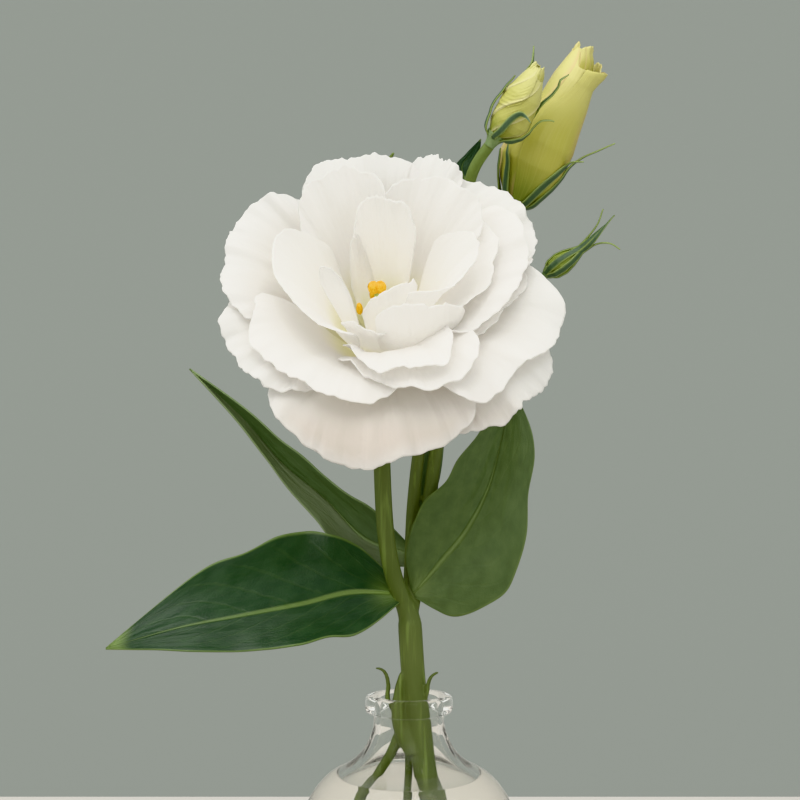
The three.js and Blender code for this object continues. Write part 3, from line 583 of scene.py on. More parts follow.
bm = new_mesh()
add_grid(bm, turned_in_bloom(OVARY), across=32, along=40, closed=True)
close_ends(bm)
add_piece("ovary", bm, pistil_green, ["pistil"])


def lobe(centre, size, stretch, seed):
    """The formula of an oval, roughened lump, stretched along the bloom's axis."""
    def place(u, v):
        turn, tilt = np.pi * u, np.pi * (v - 0.5)
        radius = size * (1 + 0.06 * noise(u * 8 + 40, v * 7, seed))
        out, up = columns(radius * np.cos(tilt), radius * np.sin(tilt) * stretch)
        right, back = columns(np.cos(turn), np.sin(turn))
        return centre + out * (right * BLOOM_RIGHT + back * BLOOM_BACK) + up * BLOOM_AXIS
    return place


bm = new_mesh()
for angle in (0, 180):
    stigma_lobe = lobe(in_bloom(STIGMA_SPREAD, STIGMA_HEIGHT, angle), size=1.3, stretch=1.25, seed=3)
    add_grid(bm, stigma_lobe, across=28, along=20, closed=True)
for k in range(STAMENS):
    angle = 360 * (k + 0.5) / STAMENS
    anther = lobe(in_bloom(ANTHER_RING, ANTHER_HEIGHT, angle), size=0.75, stretch=2.3, seed=5 + k)
    add_grid(bm, anther, across=16, along=16, closed=True)
bmesh.ops.recalc_face_normals(bm, faces=bm.faces)
add_piece("stigma_and_anthers", bm, pollen_yellow, ["pistil", "stamens"])

# %% [markdown]
# ## Stalks
# A stalk is a grid rolled round a smooth curve. The real ones are grown into each other, with a
# slight swelling where they fork, so the rolled grids overlap and a voxel remesh melts them
# into one skin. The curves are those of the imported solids, but each branch begins a little
# lower, inside the main stem, whose top is rounded, so that no rim shows at the fork.

# %% Finish of the stalks
PALER_FROM = 0.165                  # heights in metres between which stalks and cups turn paler
PALER_TO = 0.205


def stalk_finish(name, dark, mid, light, streak_cells):
    """Two patchy greens with fine light streaks along the stalk, paler towards the buds."""
    paint = Finish(name)
    streaks = paint.noise("Object", streak_cells, 4)
    patches = paint.noise("Object", (60, 60, 25))
    green = paint.blend(paint.steps(patches, 0.35, 0.65), dark, mid)
    green = paint.blend(paint.steps(paint.height(), PALER_FROM, PALER_TO) * 0.6, green, light)
    colour = paint.blend(paint.steps(streaks, 0.52, 0.72) * 0.6, green, light)
    return paint.end(paint.surface(colour, 0.5, 0.35, {"Normal": paint.bump(streaks, 0.0002)}))


stalk_green = stalk_finish("stalk_green", (0.082, 0.114, 0.032), (0.119, 0.150, 0.050),
                           (0.20, 0.27, 0.08), (900, 900, 40))
print("finish:", stalk_green.name)

# %% The stalks
BACKWARDS = np.array([0, 1, 0])
STALK_RIDGES = 6
RIDGE_HEIGHT = 0.03                 # of a ridge, as a share of the stalk's radius
DOME_END = 0.02                     # keeps the dome's last ring from shrinking to a point
SKIN_VOXEL = 0.0003                 # in metres, the size of the faces of the melted skin
SOFTENINGS = 5                      # passes that take the steps out of it


def stalk_place(through, first, last, dome=0):
    """The formula of a stalk from one radius to another, its last share rounded to a dome."""
    def place(u, v):
        here = spline(through, v)
        tangent = unit(spline(through, v + 0.01) - spline(through, v - 0.01))
        side = unit(BACKWARDS - tangent * (tangent @ BACKWARDS)[..., None])
        other = np.cross(tangent, side)
        turn = np.pi * u
        radius = (first + (last - first) * v) * (1 + RIDGE_HEIGHT * np.cos(STALK_RIDGES * turn))
        if dome:
            radius = radius * np.sqrt(np.clip((1 - v) / dome, DOME_END, 1))
        toward, sideways = columns(radius * np.cos(turn), radius * np.sin(turn))
        return here + toward * side + sideways * other
    return place


# each limb: its curve upwards, the radii of its two ends, and where it has one the share of its
# length that is rounded to a dome. The stub and the two curls are old shoots cut off at the mouth.
LIMBS = {
    "main_stem": (
        [[13, 1, 4.9], [9, 0.5, 34], [3.9, 0, 64.5], [2.4, 0, 77], [1, 0, 88], [-0.2, 0, 107]],
        2.75, 2.8, 0.07),
    "side_shoot": (
        [[-18.5, 4, 4.6], [-16.5, 4, 34], [-9, 2.5, 60], [-4, 1, 70.5], [-0.5, 0, 79]],
        1, 1.3),
    "middle_shoot": (
        [[-2.5, 6, 4.6], [-1.2, 5, 34], [-0.2, 3.2, 60], [0, 2, 70.5], [0.2, 0.5, 79]],
        0.85, 1),
    "bloom_stalk": (
        [[-0.2, 0, 97], [-0.6, 0, 103], [-3.4, -0.8, 111], [-5, -1.2, 119], [-5.8, -0.8, 129],
         [-6.3, 0.8, 145], [-6.2, 1, 155], [-6, -1.2, 160.4]],
        2.1, 1.9),
    "small_bud_stalk": (
        [[0.1, 0.3, 97], [0, 0.6, 103], [0.4, 4.5, 114], [1, 7.5, 127], [3, 10.5, 143],
         [8, 13.5, 167], [12.2, 10, 190], [14.3, 5.5, 202], [19.3, 2.4, 210]],
        1.6, 1.3),
    "large_bud_stalk": (
        [[0.4, 0.4, 97], [0.6, 0.8, 103], [3.2, 5, 116], [5, 8, 130], [7, 11, 143],
         [12, 16.5, 165], [18, 18.5, 183], [24.3, 17, 194.5]],
        1.7, 1.5),
    "tiny_bud_stalk": (
        [[12.5, 16.8, 167], [19, 16, 171.5], [26, 12, 175], [31.8, 10, 179.3]],
        1, 0.9),
    "thin_shoot": (
        [[8.4, 13.6, 168], [3, 18, 180], [-3.5, 19.5, 193], [-5, 17.5, 203], [-3.5, 15.5, 206.6]],
        0.9, 0.4),
    "stub": (
        [[1.5, 0, 71], [-1.3, -0.2, 75.5], [-2.4, -0.9, 80], [-2.4, -1.3, 85], [-1.7, -1.6, 89.3]],
        2.6, 0.5),
    "curl_left": (
        [[-1, 0, 78], [-4.6, -0.6, 82.5], [-4.7, -1.2, 86.5], [-5.2, -1.6, 89], [-6.3, -1.8, 90.2],
         [-7.6, -1.8, 90.4]],
        0.7, 0.3),
    "curl_right": (
        [[2, 0, 79], [3.9, -1.8, 84.5], [4.4, -2.2, 87.2], [5.2, -2.4, 88.8], [6.6, -2.6, 89.7]],
        0.7, 0.3),
}

bm = new_mesh()
for limb in LIMBS.values():
    add_grid(bm, stalk_place(*limb), across=24, along=60, closed=True)
close_ends(bm)
stalks = add_piece("stalks", bm, stalk_green, ["stems"])
melt = stalks.modifiers.new("melt", "REMESH")
melt.mode = "VOXEL"
melt.voxel_size = SKIN_VOXEL
melt.use_smooth_shade = True
soften = stalks.modifiers.new("soften", "SMOOTH")
soften.iterations = SOFTENINGS
print("limbs:", len(LIMBS))

# %% [markdown]
# ## Buds
# A closed bud is five petals rolled round each other, so its skin is a round body whose radius
# climbs slowly round the axis and drops at each petal's free edge. The grid itself is twisted,
# which lets every edge run along a row of faces and stay crisp. The petals' tips stand loose at
# the top as lips. The large bud is about to open: its outermost petal is a sheet of its own,
# wrapped round the skin with a flared rim. On the small bud the same rim is still a low,
# crinkled step in the skin.

# %% The buds' forms
BUD_PETALS = 5
# base and tip: the ends of the axis. profile: height, radius, shift to the right.
# sepals: height, distance from the skin, direction from the bud's right.
# lobes: direction, half their width in degrees, height and distance from the axis of a petal's tip.
# wrap: directions of the outer petal's free edge from its foot to its top, direction of its other
# side, then heights of its rim and how far the rim flares, both from the free edge to the other side.
# rim: direction and height of the crinkled rim that a petal has on the bud's front.
# twist: degrees by which the edges wind round the bud. start: direction of the first of them.
# step: how far the skin drops at an edge. sepal_width: half of it. stalk: radius under the cup.
BUDS = {
    "bud_large": {
        "base": (24.3, 17, 194.9), "tip": (40.2, 15, 230.3),
        "profile": [[0, 2.4, 0], [1.5, 3.7, 0.2], [4, 5.4, 0], [6.4, 6.5, -0.2], [10, 7.6, -0.5],
                    [15.5, 7.5, -0.3], [20.6, 6.6, -0.1], [25.9, 5.5, 0.5], [31.2, 4.7, 0.5],
                    [34, 3.8, 0.3], [36.5, 2.5, -0.3], [38.4, 1, -1.1]],
        "sepals": [
            [[0.5, 1.3, 68], [5.4, 0.8, 57], [9.4, 0.8, 44], [12.3, 1, 32], [14, 2.1, 34], [15.4, 5.1, 35]],
            [[0.5, 1.3, 38], [4, 0.8, 30], [8, 0.8, 20], [12.3, 1, 12], [15.7, 2.6, 10], [18.9, 5.8, 10],
             [22, 8.9, 10]],
            [[0.5, 1.3, 134], [4.9, 0.8, 133], [8.5, 0.8, 133], [12.5, 0.8, 145]],
            [[0.5, 1.3, 190], [4, 0.8, 175], [7.5, 0.8, 162], [10.4, 0.8, 158]],
            [[0.5, 1.3, 270], [8, 0.8, 268], [16, 0.9, 266]]],
        "lobes": [[170, 80, 39.5, 0.7], [30, 60, 39.7, 2.8], [-25, 34, 37, 5.4], [255, 60, 38, 2.2]],
        "wrap": [[112, 112, 118, 124, 117, 91, 67], -60,
                 [34.3, 35.2, 35.5, 35.2, 33], [0.5, 2.2, 3.8, 3.4, 1.5]],
        "rim": [],
        "twist": 95, "start": 130, "step": 0.5, "sepal_width": 0.9, "stalk": 1.5},
    "bud_small": {
        "base": (19.4, 2.2, 210.6), "tip": (29, -1, 225.4),
        "profile": [[0, 1.9, 0.2], [1, 2.8, 0.6], [2.6, 3.9, 1], [4.4, 4.4, 1.1], [7.2, 4.4, 0.8],
                    [11, 4, 0.6], [13.9, 3, 0.4], [16.1, 2.1, 0.1], [17.8, 1, -0.4]],
        "sepals": [
            [[0.4, 1.3, 160], [3.2, 0.9, 168], [5.5, 1.1, 170], [8.7, 0.8, 170], [11.9, 0.8, 170],
             [13.7, 1, 170]],
            [[0.4, 1.3, 235], [3, 1, 235], [6.5, 0.8, 235], [12, 0.8, 232], [16, 0.9, 230],
             [18.1, 1.5, 230], [20.9, 4, 230]],
            [[0.4, 1.3, 97], [4.6, 0.8, 94], [7.4, 0.9, 80], [7.9, 1.6, 66], [7.6, 4.2, 60]],
            [[0.4, 1.3, 40], [2.2, 1, 22], [4.8, 0.8, 5], [7.7, 1.6, 0], [9.2, 3.4, 0], [9.7, 4.6, 0]],
            [[0.4, 1.3, 300], [2.4, 1.1, 307], [5, 0.9, 315], [9, 0.8, 328], [11.2, 1.3, 330],
             [13.9, 3.3, 330], [17.7, 5.8, 330], [19.8, 6.9, 330]]],
        "lobes": [[170, 70, 18.6, 0.9], [20, 60, 18.4, 1.4], [-100, 60, 18.2, 1]],
        "wrap": [],
        "rim": [[60, 20], [70, 15], [74, 12.2], [87, 9.3], [115, 7.2], [152, 6.6], [185, 8], [215, 20]],
        "twist": 200, "start": 40, "step": 0.42, "sepal_width": 0.7, "stalk": 1.3},
    "bud_tiny": {
        "base": (31.9, 10, 179.5), "tip": (39.6, 9, 185.1),
        "profile": [[0, 1.1, 0], [1.2, 2, 0], [3.2, 2.35, 0], [5.4, 1.9, 0], [7.4, 1.1, 0], [8.8, 0.5, 0]],
        "sepals": [
            [[0.3, 0.5, 185], [1.6, 0.3, 187], [4, 0.25, 188], [9.3, 0.5, 188], [14.8, 1.8, 182],
             [18.3, 4, 180]],
            [[0.3, 0.5, 110], [1.6, 0.3, 112], [4, 0.25, 115], [9.3, 0.5, 120], [14, 0.8, 140],
             [17.2, 0.8, 175]],
            [[0.3, 0.5, 60], [1.6, 0.3, 60], [4, 0.25, 60], [9.3, 0.5, 62], [14, 0.8, 110],
             [19.6, 1.4, 170]],
            [[0.3, 0.5, 5], [1.6, 0.3, 5], [4, 0.25, 5], [9.3, 0.5, 5], [12.5, 0.7, 5], [15, 2.3, 5],
             [16.1, 4.7, 5]],
            [[0.3, 0.5, 280], [1.6, 0.3, 280], [4, 0.25, 280], [9.5, 0.5, 280]]],
        "lobes": [],
        "wrap": [],
        "rim": [],
        "twist": 60, "start": 0, "step": 0.15, "sepal_width": 0.8, "stalk": 0.9},
}


def in_bud(form, height, out, angle):
    """Place in a bud: height along its axis, distance out, direction from its right."""
    axis = unit(np.subtract(form["tip"], form["base"]))
    front = unit(np.array([0, -1, 0]) + axis * axis[1])
    right = np.cross(axis, front)
    heights, _, shifts = np.transpose(form["profile"])
    turn = np.radians(angle)
    sideways = np.interp(height, heights, shifts) + out * np.cos(turn)
    up, sideways, forward = columns(height, sideways, out * np.sin(turn))
    return np.asarray(form["base"]) + up * axis + sideways * right + forward * front


def skin_radius(form, height):
    """Radius of a bud's skin at a height along its axis."""
    heights, radii, _ = np.transpose(form["profile"])
    return np.interp(height, heights, radii)


print("large bud is", round(math.dist(BUDS["bud_large"]["base"], BUDS["bud_large"]["tip"]), 1), "mm long")

# %% Finishes of the buds


def bud_finish(name, root, middle, top, flush, petals=BUD_PETALS, flush_from=0.72, flush_full=1.0):
    """Green at the calyx, lime in the middle, creamy at the top, with a flush on each petal."""
    paint = Finish(name)
    streaks = paint.noise("UV", (60, 3, 1))
    clouds = paint.noise("Object", (90, 90, 50))
    height = paint.along() + (clouds - 0.5) * 0.25
    colour = paint.blend(paint.steps(height, 0.0, 0.34), root, middle)
    colour = paint.blend(paint.steps(height, 0.45, 0.95), colour, top)
    flushed = paint.steps(paint.maths("FRACT", paint.across() * petals), flush_from, flush_full)
    colour = paint.blend(flushed * 0.7, colour, flush)
    colour = paint.blend(paint.steps(streaks, 0.4, 0.8) * 0.25, colour, top)
    body = paint.surface(colour, 0.42, 0.35, {"Normal": paint.bump(streaks, 0.0001)})
    return paint.end(paint.thin(body, middle, 0.12))


# each bud's finish and the slot that it stands for
BUD_FINISHES = {
    "bud_large": (bud_finish("bud_cream", (0.20, 0.25, 0.04), (0.50, 0.47, 0.11), (0.68, 0.64, 0.27),
                             (0.72, 0.55, 0.28)), "bud_cream"),
    "bud_small": (bud_finish("bud_lime", (0.28, 0.32, 0.06), (0.50, 0.49, 0.14), (0.64, 0.62, 0.26),
                             (0.74, 0.70, 0.38)), "bud_lime"),
    "bud_tiny": (bud_finish("bud_green", (0.12, 0.17, 0.03), (0.24, 0.31, 0.06), (0.33, 0.39, 0.10),
                            (0.32, 0.38, 0.12)), "bud_green"),
}
wrap_cream = bud_finish("bud_wrap_cream", (0.18, 0.24, 0.04), (0.47, 0.45, 0.105), (0.60, 0.57, 0.20),
                        (0.66, 0.50, 0.23), petals=1, flush_from=0.42, flush_full=0.66)
print("bud finishes:", len(BUD_FINISHES))

# %% The buds
RIM_STEP = 0.2                      # how far the skin stands out above the small bud's rim
RIM_STEP_HEIGHT = 0.3
RIM_FOLD = 0.09                     # how far the folds above that rim stand out
RIM_FOLD_HEIGHT = 0.95
RIM_FOLDS_FADE = 2.5                # height over which they fade
LIP_THICKNESS = 0.25
LIPS_FROM = 0.8                     # share of the bud's height where the lips begin
LIP_SEED = 70                       # of the first lip's noise
WRAP_FOOT = 0.3                     # the wrap's lowest height, and its distance from the skin
WRAP_FLARES_FROM = 30.5             # the height at which its rim begins to flare


def crinkled_rim(form, height, angle):
    """How far a petal's rim and the folds above it stand out on the front of a bud."""
    if not form["rim"]:
        return 0
    directions, heights = np.transpose(form["rim"])
    above = height - np.interp(angle % 360, directions, heights)
    folds = RIM_FOLD * np.sin(above * 2 * np.pi / RIM_FOLD_HEIGHT) * np.exp(-abs(above) / RIM_FOLDS_FADE)
    return RIM_STEP * np.clip(above / RIM_STEP_HEIGHT, 0, 1) + np.where(above > 0, folds, 0)


def bud_place(form):
    """The formula of a bud's skin: a rolled grid whose columns follow the petals' edges."""
    total = form["profile"][-1][0]

    def place(u, v):
        height = v * total
        share = (u + 1) / 2 * BUD_PETALS
        climb = share - np.floor(share)
        climb = np.where(climb > 0.999, 0, climb)       # a rounding error mustn't lift an edge
        angle = form["start"] + form["twist"] * (1 - v) - 180 * u
        sunk = form["step"] * (0.5 - climb) * np.sin(np.pi * np.minimum(v + 0.12, 1))
        radius = skin_radius(form, height) - sunk + crinkled_rim(form, height, angle)
        return in_bud(form, height, radius, angle)
    return place


def wrap_place(form):
    """The formula of the outermost petal: it wraps the bud, and its rim flares."""
    free_edge, other_side, tops, flares = form["wrap"]

    def place(u, v):
        share = (u + 1) / 2
        top = spline_of_numbers(tops, share)
        flare = spline_of_numbers(flares, share)
        edge = spline_of_numbers(free_edge, v)
        height = WRAP_FOOT + (top - WRAP_FOOT + 0.25 * noise(u * 9 + 20, v * 0, 61)) * v
        opened = np.clip((height - WRAP_FLARES_FROM) / (tops[2] - WRAP_FLARES_FROM), 0, None) ** 1.3
        out = skin_radius(form, height) + WRAP_FOOT + flare * opened + 0.06 * noise(u * 6 + 3, v * 5, 62)
        return in_bud(form, height, out, edge + (other_side - edge) * share)
    return place


def lip_place(form, angle, half_angle, top, lean, seed):
    """The formula of a lip, a petal's rounded, crinkled tip at the top of a bud."""
    foot = form["profile"][-1][0] * LIPS_FROM
    start = skin_radius(form, foot) * 0.75

    def place(u, v):
        rim = top - 0.05 * top * abs(u) ** 2.5 - 0.3 * noise(u * 6 + 11, v * 0, seed)
        crumple = 0.22 * v * noise(u * 7 + 5, v * 3, seed + 1)
        out = start + (lean - start) * v + 0.25 * np.sin(np.pi * v) + crumple
        return in_bud(form, foot + (rim - foot) * v, out, angle + half_angle * u)
    return place


def ribbon_place(curve, facing, half_width, keel):
    """The formula of a narrow keeled blade along a curve, ending in a point."""
    def place(u, v):
        here = curve(v)
        tangent = curve(np.minimum(v + 0.02, 1)) - curve(np.maximum(v - 0.02, 0))
        outward = facing(v)
        side = unit(np.cross(tangent, outward))
        width = half_width * np.maximum(np.sin(np.pi * (0.22 + 0.78 * v)) ** 0.8, 0.06)
        sideways, inward = columns(u * width, keel * u * u * width)
        return here + sideways * side - inward * outward
    return place


for name, form in BUDS.items():
    finish, slot = BUD_FINISHES[name]
    bm = new_mesh()
    add_grid(bm, bud_place(form), across=200, along=100, closed=True)
    close_ends(bm)
    add_piece(name + "_skin", bm, finish, [name])
    if form["lobes"]:
        bm = new_mesh()
        for k, lip in enumerate(form["lobes"]):
            add_grid(bm, lip_place(form, *lip, LIP_SEED + 2 * k), across=24, along=16)
        add_piece(name + "_lips", bm, finish, [name], LIP_THICKNESS)
    if form["wrap"]:
        bm = new_mesh()
        add_grid(bm, wrap_place(form), across=80, along=80)
        add_piece(name + "_wrap", bm, wrap_cream, [name], LIP_THICKNESS)

# %% [markdown]
# ## Sepals
# Each bud stands in a small green cup with five narrow sepals, keeled like a boat, which curl
# away from the bud at their tips. The open bloom has the same five, spread flat beneath it.

# %% Finishes of the sepals and cups


def sepal_finish(name, middle, margin):
    """Dark along the keel, with thin yellow-green margins."""
    paint = Finish(name)
    side = paint.maths("ABSOLUTE", paint.across() - 0.5) * 2
    streaks = paint.noise("UV", (9, 3, 1))
    colour = paint.blend(paint.steps(side + streaks * 0.3, 0.55, 1.1), middle, margin)
    return paint.end(paint.surface(colour, 0.45, 0.4, {}))


sepal_green = sepal_finish("sepal_green", (0.064, 0.108, 0.058), (0.24, 0.31, 0.10))
calyx_green = stalk_finish("calyx_green", (0.075, 0.135, 0.055), (0.115, 0.19, 0.075),
                           (0.25, 0.33, 0.15), (700, 700, 90))
print("finishes:", sepal_green.name, calyx_green.name)

# %% The sepals and calyx cups
SEPAL_THICKNESS = 0.3
SEPAL_KEEL = 0.3                    # depth of a bud sepal's keel, as a share of half its width
BLOOM_SEPALS = 5
FIRST_SEPAL_AT = 30                 # direction from the bloom's right, in degrees
BLOOM_SEPAL_LENGTH = 19
BLOOM_SEPAL_WIDTH = 4.4
BLOOM_SEPAL_KEEL = 0.35
SEPAL_OPENING = 1.3                 # wider than any petal, so that the sepals lie under them
BLOOM_CUP = [[1.7, -5], [2.2, -3.6], [2.9, -2.2], [3.9, -0.7]]     # as [radius, height]


def sepal_course(form, sepal):
    """A sepal's curve over the skin of its bud, and the direction that it faces."""
    rows = [[-0.8, 0, sepal[0][2]], *sepal]

    def curve(v):
        height, skin, angle = np.moveaxis(spline(rows, v), -1, 0)
        return in_bud(form, height, skin_radius(form, height) + skin, angle)

    def facing(v):
        height, _, angle = np.moveaxis(spline(rows, v), -1, 0)
        return in_bud(form, height, 1, angle) - in_bud(form, height, 0, angle)

    return curve, facing


def cup_place(form):
    """The formula of the cup between a stalk and its bud."""
    radius = form["profile"][0][1]
    rows = [[-3, form["stalk"] * 0.9], [-1.7, radius - 0.4], [-0.6, radius + 0.2], [0.4, radius + 0.6]]

    def place(u, v):
        height, out = np.moveaxis(spline(rows, v), -1, 0)
        return in_bud(form, height, out, -180 * u)
    return place


def bloom_sepal_place(angle):
    """The formula of one of the five sepals under the open bloom."""
    side = np.cross(BLOOM_AXIS, in_bloom(1, 0, angle) - in_bloom(0, 0, angle))

    def place(u, v):
        out, up, _ = cup(1 + BLOOM_SEPAL_LENGTH * v, SEPAL_OPENING)
        width = BLOOM_SEPAL_WIDTH / 2 * np.maximum(np.sin(np.pi * (0.25 + 0.75 * v)), 0.06)
        (sideways,) = columns(u * width)
        return in_bloom(out - 0.8, up - 2.1 + BLOOM_SEPAL_KEEL * u * u, angle) + sideways * side
    return place


bm = new_mesh()
for form in BUDS.values():
    for sepal in form["sepals"]:
        ribbon = ribbon_place(*sepal_course(form, sepal), form["sepal_width"], SEPAL_KEEL)
        add_grid(bm, ribbon, across=8, along=40)
for k in range(BLOOM_SEPALS):
    angle = 360 * k / BLOOM_SEPALS + FIRST_SEPAL_AT
    add_grid(bm, bloom_sepal_place(angle), across=8, along=30)
add_piece("sepals", bm, sepal_green, ["stems"], SEPAL_THICKNESS)

bm = new_mesh()
for form in BUDS.values():
    add_grid(bm, cup_place(form), across=40, along=16, closed=True)
add_grid(bm, turned_in_bloom(BLOOM_CUP), across=40, along=16, closed=True)
close_ends(bm)
add_piece("calyx_cups", bm, calyx_green, ["stems"])

# %% [markdown]
# ## Leaves
# A lisianthus leaf has no stalk: its base clasps the stem. It is thick and waxy, with a pale
# sunken midrib and a few faint side veins that run forward in long arcs. Three curves give its
# rib and its margins, the blade swells between them, and each margin wanders a little. The
# veins are too fine for the grid, so they are a trace of colour and relief in the finish. The
# leaf at the upper left is folded along its rib, and its colour carries painted shade of the
# fold: its upper half is darkened, and its lower half is paler.

# %% Finishes of the leaves
VEINS_FORWARD = 46                  # turn of the veins' sine from base to tip, in radians
VEINS_OUTWARD = 21                  # and from rib to margin, which slants the veins towards the tip
SHEET_LIGHT = 0.12                  # share of the light that goes through a leaf


def leaf_finish(name, dark, light, pale, roughness, paler_half=None):
    """Waxy green with a pale midrib, faint arched veins, and a pale margin, base and tip."""
    paint = Finish(name)
    across = paint.across()
    along = paint.along()
    side = paint.maths("ABSOLUTE", across - 0.5) * 2
    mottle = paint.noise("UV", (9, 16, 1), 5)
    green = paint.blend(paint.steps(mottle, 0.2, 0.9), dark, light)
    # painted shade of a fold along the rib: beyond the rib the leaf turns a paler green, and the darker
    # greens stay on the other half
    if paler_half:
        green = paint.blend(paint.steps(across, 0.48, 0.56) * 0.9, green, paler_half)
    arcs = paint.maths("SINE", (along * VEINS_FORWARD - side * VEINS_OUTWARD) + mottle * 1.6)
    veins = paint.steps(arcs, 0.86, 1.0) * paint.steps(side, 1.0, 0.75)
    rib = paint.steps(side * (along * 1.6 + 0.55), 0.075, 0.02)
    margin = paint.steps(side, 0.955, 0.995)
    ends = paint.steps(along, 0.93, 0.98) + paint.steps(along, 0.17, 0.02) * (1 - side)
    colour = paint.blend(veins * 0.04, green, pale)
    colour = paint.blend(rib * (0.75 - along * 0.5), colour, pale)
    colour = paint.blend(margin * 0.6, colour, pale)
    colour = paint.blend(ends * 0.8, colour, pale)
    grain = paint.noise("UV", (90, 130, 1))
    folds = paint.noise("UV", (7, 2.5, 1))
    relief = paint.bump(folds * 1.8 - veins * 0.12 - rib * 0.8 + grain * 0.25, 0.0003)
    body = paint.surface(colour, mottle * 0.2 + roughness, 0.45, {"Normal": relief})
    return paint.end(paint.thin(body, light, SHEET_LIGHT))


leaf_dark = leaf_finish("leaf_dark", (0.021, 0.050, 0.022), (0.042, 0.085, 0.038),
                        (0.24, 0.34, 0.11), 0.24)
leaf_olive = leaf_finish("leaf_olive", (0.080, 0.122, 0.046), (0.128, 0.185, 0.072),
                         (0.20, 0.27, 0.10), 0.42)
leaf_mid = leaf_finish("leaf_mid", (0.130, 0.190, 0.092), (0.190, 0.265, 0.140),
                       (0.32, 0.42, 0.20), 0.40)
# the leaf at the upper left: leaf_mid's greens darkened as painted shade of its fold, with a paler lower
# half
leaf_folded = leaf_finish("leaf_folded", (0.070, 0.112, 0.045), (0.100, 0.155, 0.070),
                          (0.26, 0.35, 0.16), 0.40, paler_half=(0.165, 0.205, 0.118))
print("finishes:", leaf_dark.name, leaf_olive.name, leaf_mid.name, leaf_folded.name)

# %% The leaves
# each leaf: its rib, its left margin and its right margin, from the base to the tip, then its
# finish, its slot, and how far its margins bend up and down
LEAVES = {
    "leaf_low_left": (
        [[-1, 0, 107], [-13, -4, 108], [-24, -9, 106], [-38, -14, 104], [-51, -18, 102], [-67, -22, 98]],
        [[-1, 1, 108], [-11, 5, 117], [-21, 6, 120], [-33, 2, 118], [-48, -8, 112], [-67, -22, 98]],
        [[-1, -1, 106], [-11, -9, 100], [-22, -15, 98], [-35, -18, 97], [-50, -21, 97.5], [-67, -22, 98]],
        leaf_dark, "leaf_dark", 0.8),
    "leaf_right": (
        [[1, 0.5, 107], [7, 2.5, 114], [13, 6, 121], [18, 10, 130], [21, 14, 140], [24, 19, 153]],
        [[0.5, 1, 108], [-0.7, 0.3, 117.5], [2.8, 2, 126], [9.6, 6, 134.5], [16.4, 12, 143.5],
         [24, 19, 153]],
        [[1.5, 0, 106], [10, 1, 102], [22, 4, 107], [27, 9, 124], [28.6, 13, 140], [24, 19, 153]],
        leaf_olive, "leaf_olive", 0.5),
    "leaf_high_left": (
        [[0, 5.6, 115.5], [-10, 9.5, 118.5], [-19, 14, 127], [-29, 17, 135], [-39, 19, 146],
         [-51, 20, 157]],
        [[-0.5, 6.5, 118], [-8, 8, 125], [-17, 10, 131], [-27, 13, 139], [-38, 17, 148], [-51, 20, 157]],
        [[-0.5, 5, 112.5], [-13, 8.5, 113.5], [-21, 11, 122.5], [-29, 14, 131], [-38, 17, 143],
         [-51, 20, 157]],
        leaf_folded, "leaf_mid", 0.5),
    "leaf_behind": (
        [[1, 7, 118], [3, 11, 126], [4.5, 14, 135], [6, 17, 143], [7, 20, 152]],
        [[0, 7.5, 118], [1, 10.5, 126], [2, 13.5, 135], [4, 17, 143], [7, 20, 152]],
        [[1.6, 7.5, 118], [5.5, 11.5, 126], [7.5, 14, 135], [8, 17, 143], [7, 20, 152]],
        leaf_mid, "leaf_mid", 0.2),
    "bract_top": (
        [[12.9, 8.4, 200], [12, 9, 203.4], [13.8, 8.7, 206.2], [16.3, 7.5, 209.7]],
        [[12.4, 8.7, 199.8], [10.3, 9.4, 203], [12.7, 9, 206], [16.3, 7.5, 209.7]],
        [[13.9, 8.3, 200.4], [14.9, 8.5, 203.6], [15.9, 8.3, 206.2], [16.3, 7.5, 209.7]],
        leaf_dark, "leaf_dark", 0.1),
}
LEAF_THICKNESS = 0.4
LEAF_END = 0.995                    # where the blade ends along its curves
LEAF_SWELL = 0.09                   # height of a half's swell, as a share of its width
MARGINS_FALL = 0.35                 # how far the margins lie below the rib, as a share of the swell
MARGIN_WAVE = 0.06                  # how far a margin wanders, as a share of half the width
LEAF_SEED = 40                      # of the first leaf's margins


def leaf_place(rib, left, right, bends, seed):
    """The formula of a leaf between its curves, with a sunken rib and a wandering margin."""
    def place(u, v):
        share = v * LEAF_END
        middle = spline(rib, share)
        margin = np.where((u < 0)[..., None], spline(left, share), spline(right, share))
        tangent = spline(rib, share + 0.01) - spline(rib, share - 0.01)
        width = np.linalg.norm(margin - middle, axis=-1)
        side = spline(right, share) - spline(left, share)
        normal = unit(np.cross(side, tangent) + 1e-9)
        halves = np.sin(np.pi * abs(u)) + MARGINS_FALL * np.exp(-(u * 9) ** 2) - MARGINS_FALL
        up_and_down = noise(v * 9 + 20 * (u > 0), u * 0, seed)
        in_and_out = noise(v * 9 + 30 * (u > 0), u * 0, seed + 9)
        rumple = bends * abs(u) ** 2.5 * np.sin(np.pi * v) * up_and_down
        (lift,) = columns(LEAF_SWELL * width * halves + rumple)
        (reach,) = columns(abs(u) * (1 + MARGIN_WAVE * u ** 4 * in_and_out))
        return middle + (margin - middle) * reach + lift * normal
    return place


for number, (name, (rib, left, right, finish, slot, bends)) in enumerate(LEAVES.items()):
    bm = new_mesh()
    add_grid(bm, leaf_place(rib, left, right, bends, LEAF_SEED + number), across=48, along=90)
    add_piece(name + "_blade", bm, finish, [name], LEAF_THICKNESS)

# %% [markdown]
# ## Bottle and water
# Old medicine bottles like this one were blown: a round shoulder, a short neck and a thick
# rolled lip. Its half section is drawn once, outside and inside, and spun round. The water is
# spun too, and reaches a hair into the glass, so that no film of air shows between them. With
# the full bending power of glass the stalks in so narrow a neck would hardly be seen, so both
# bend light less here, and a soft sheen gives the thick glass its pale edges.

# %% Finishes of glass and water
EDGE_TINT = (0.95, 0.91, 0.87)


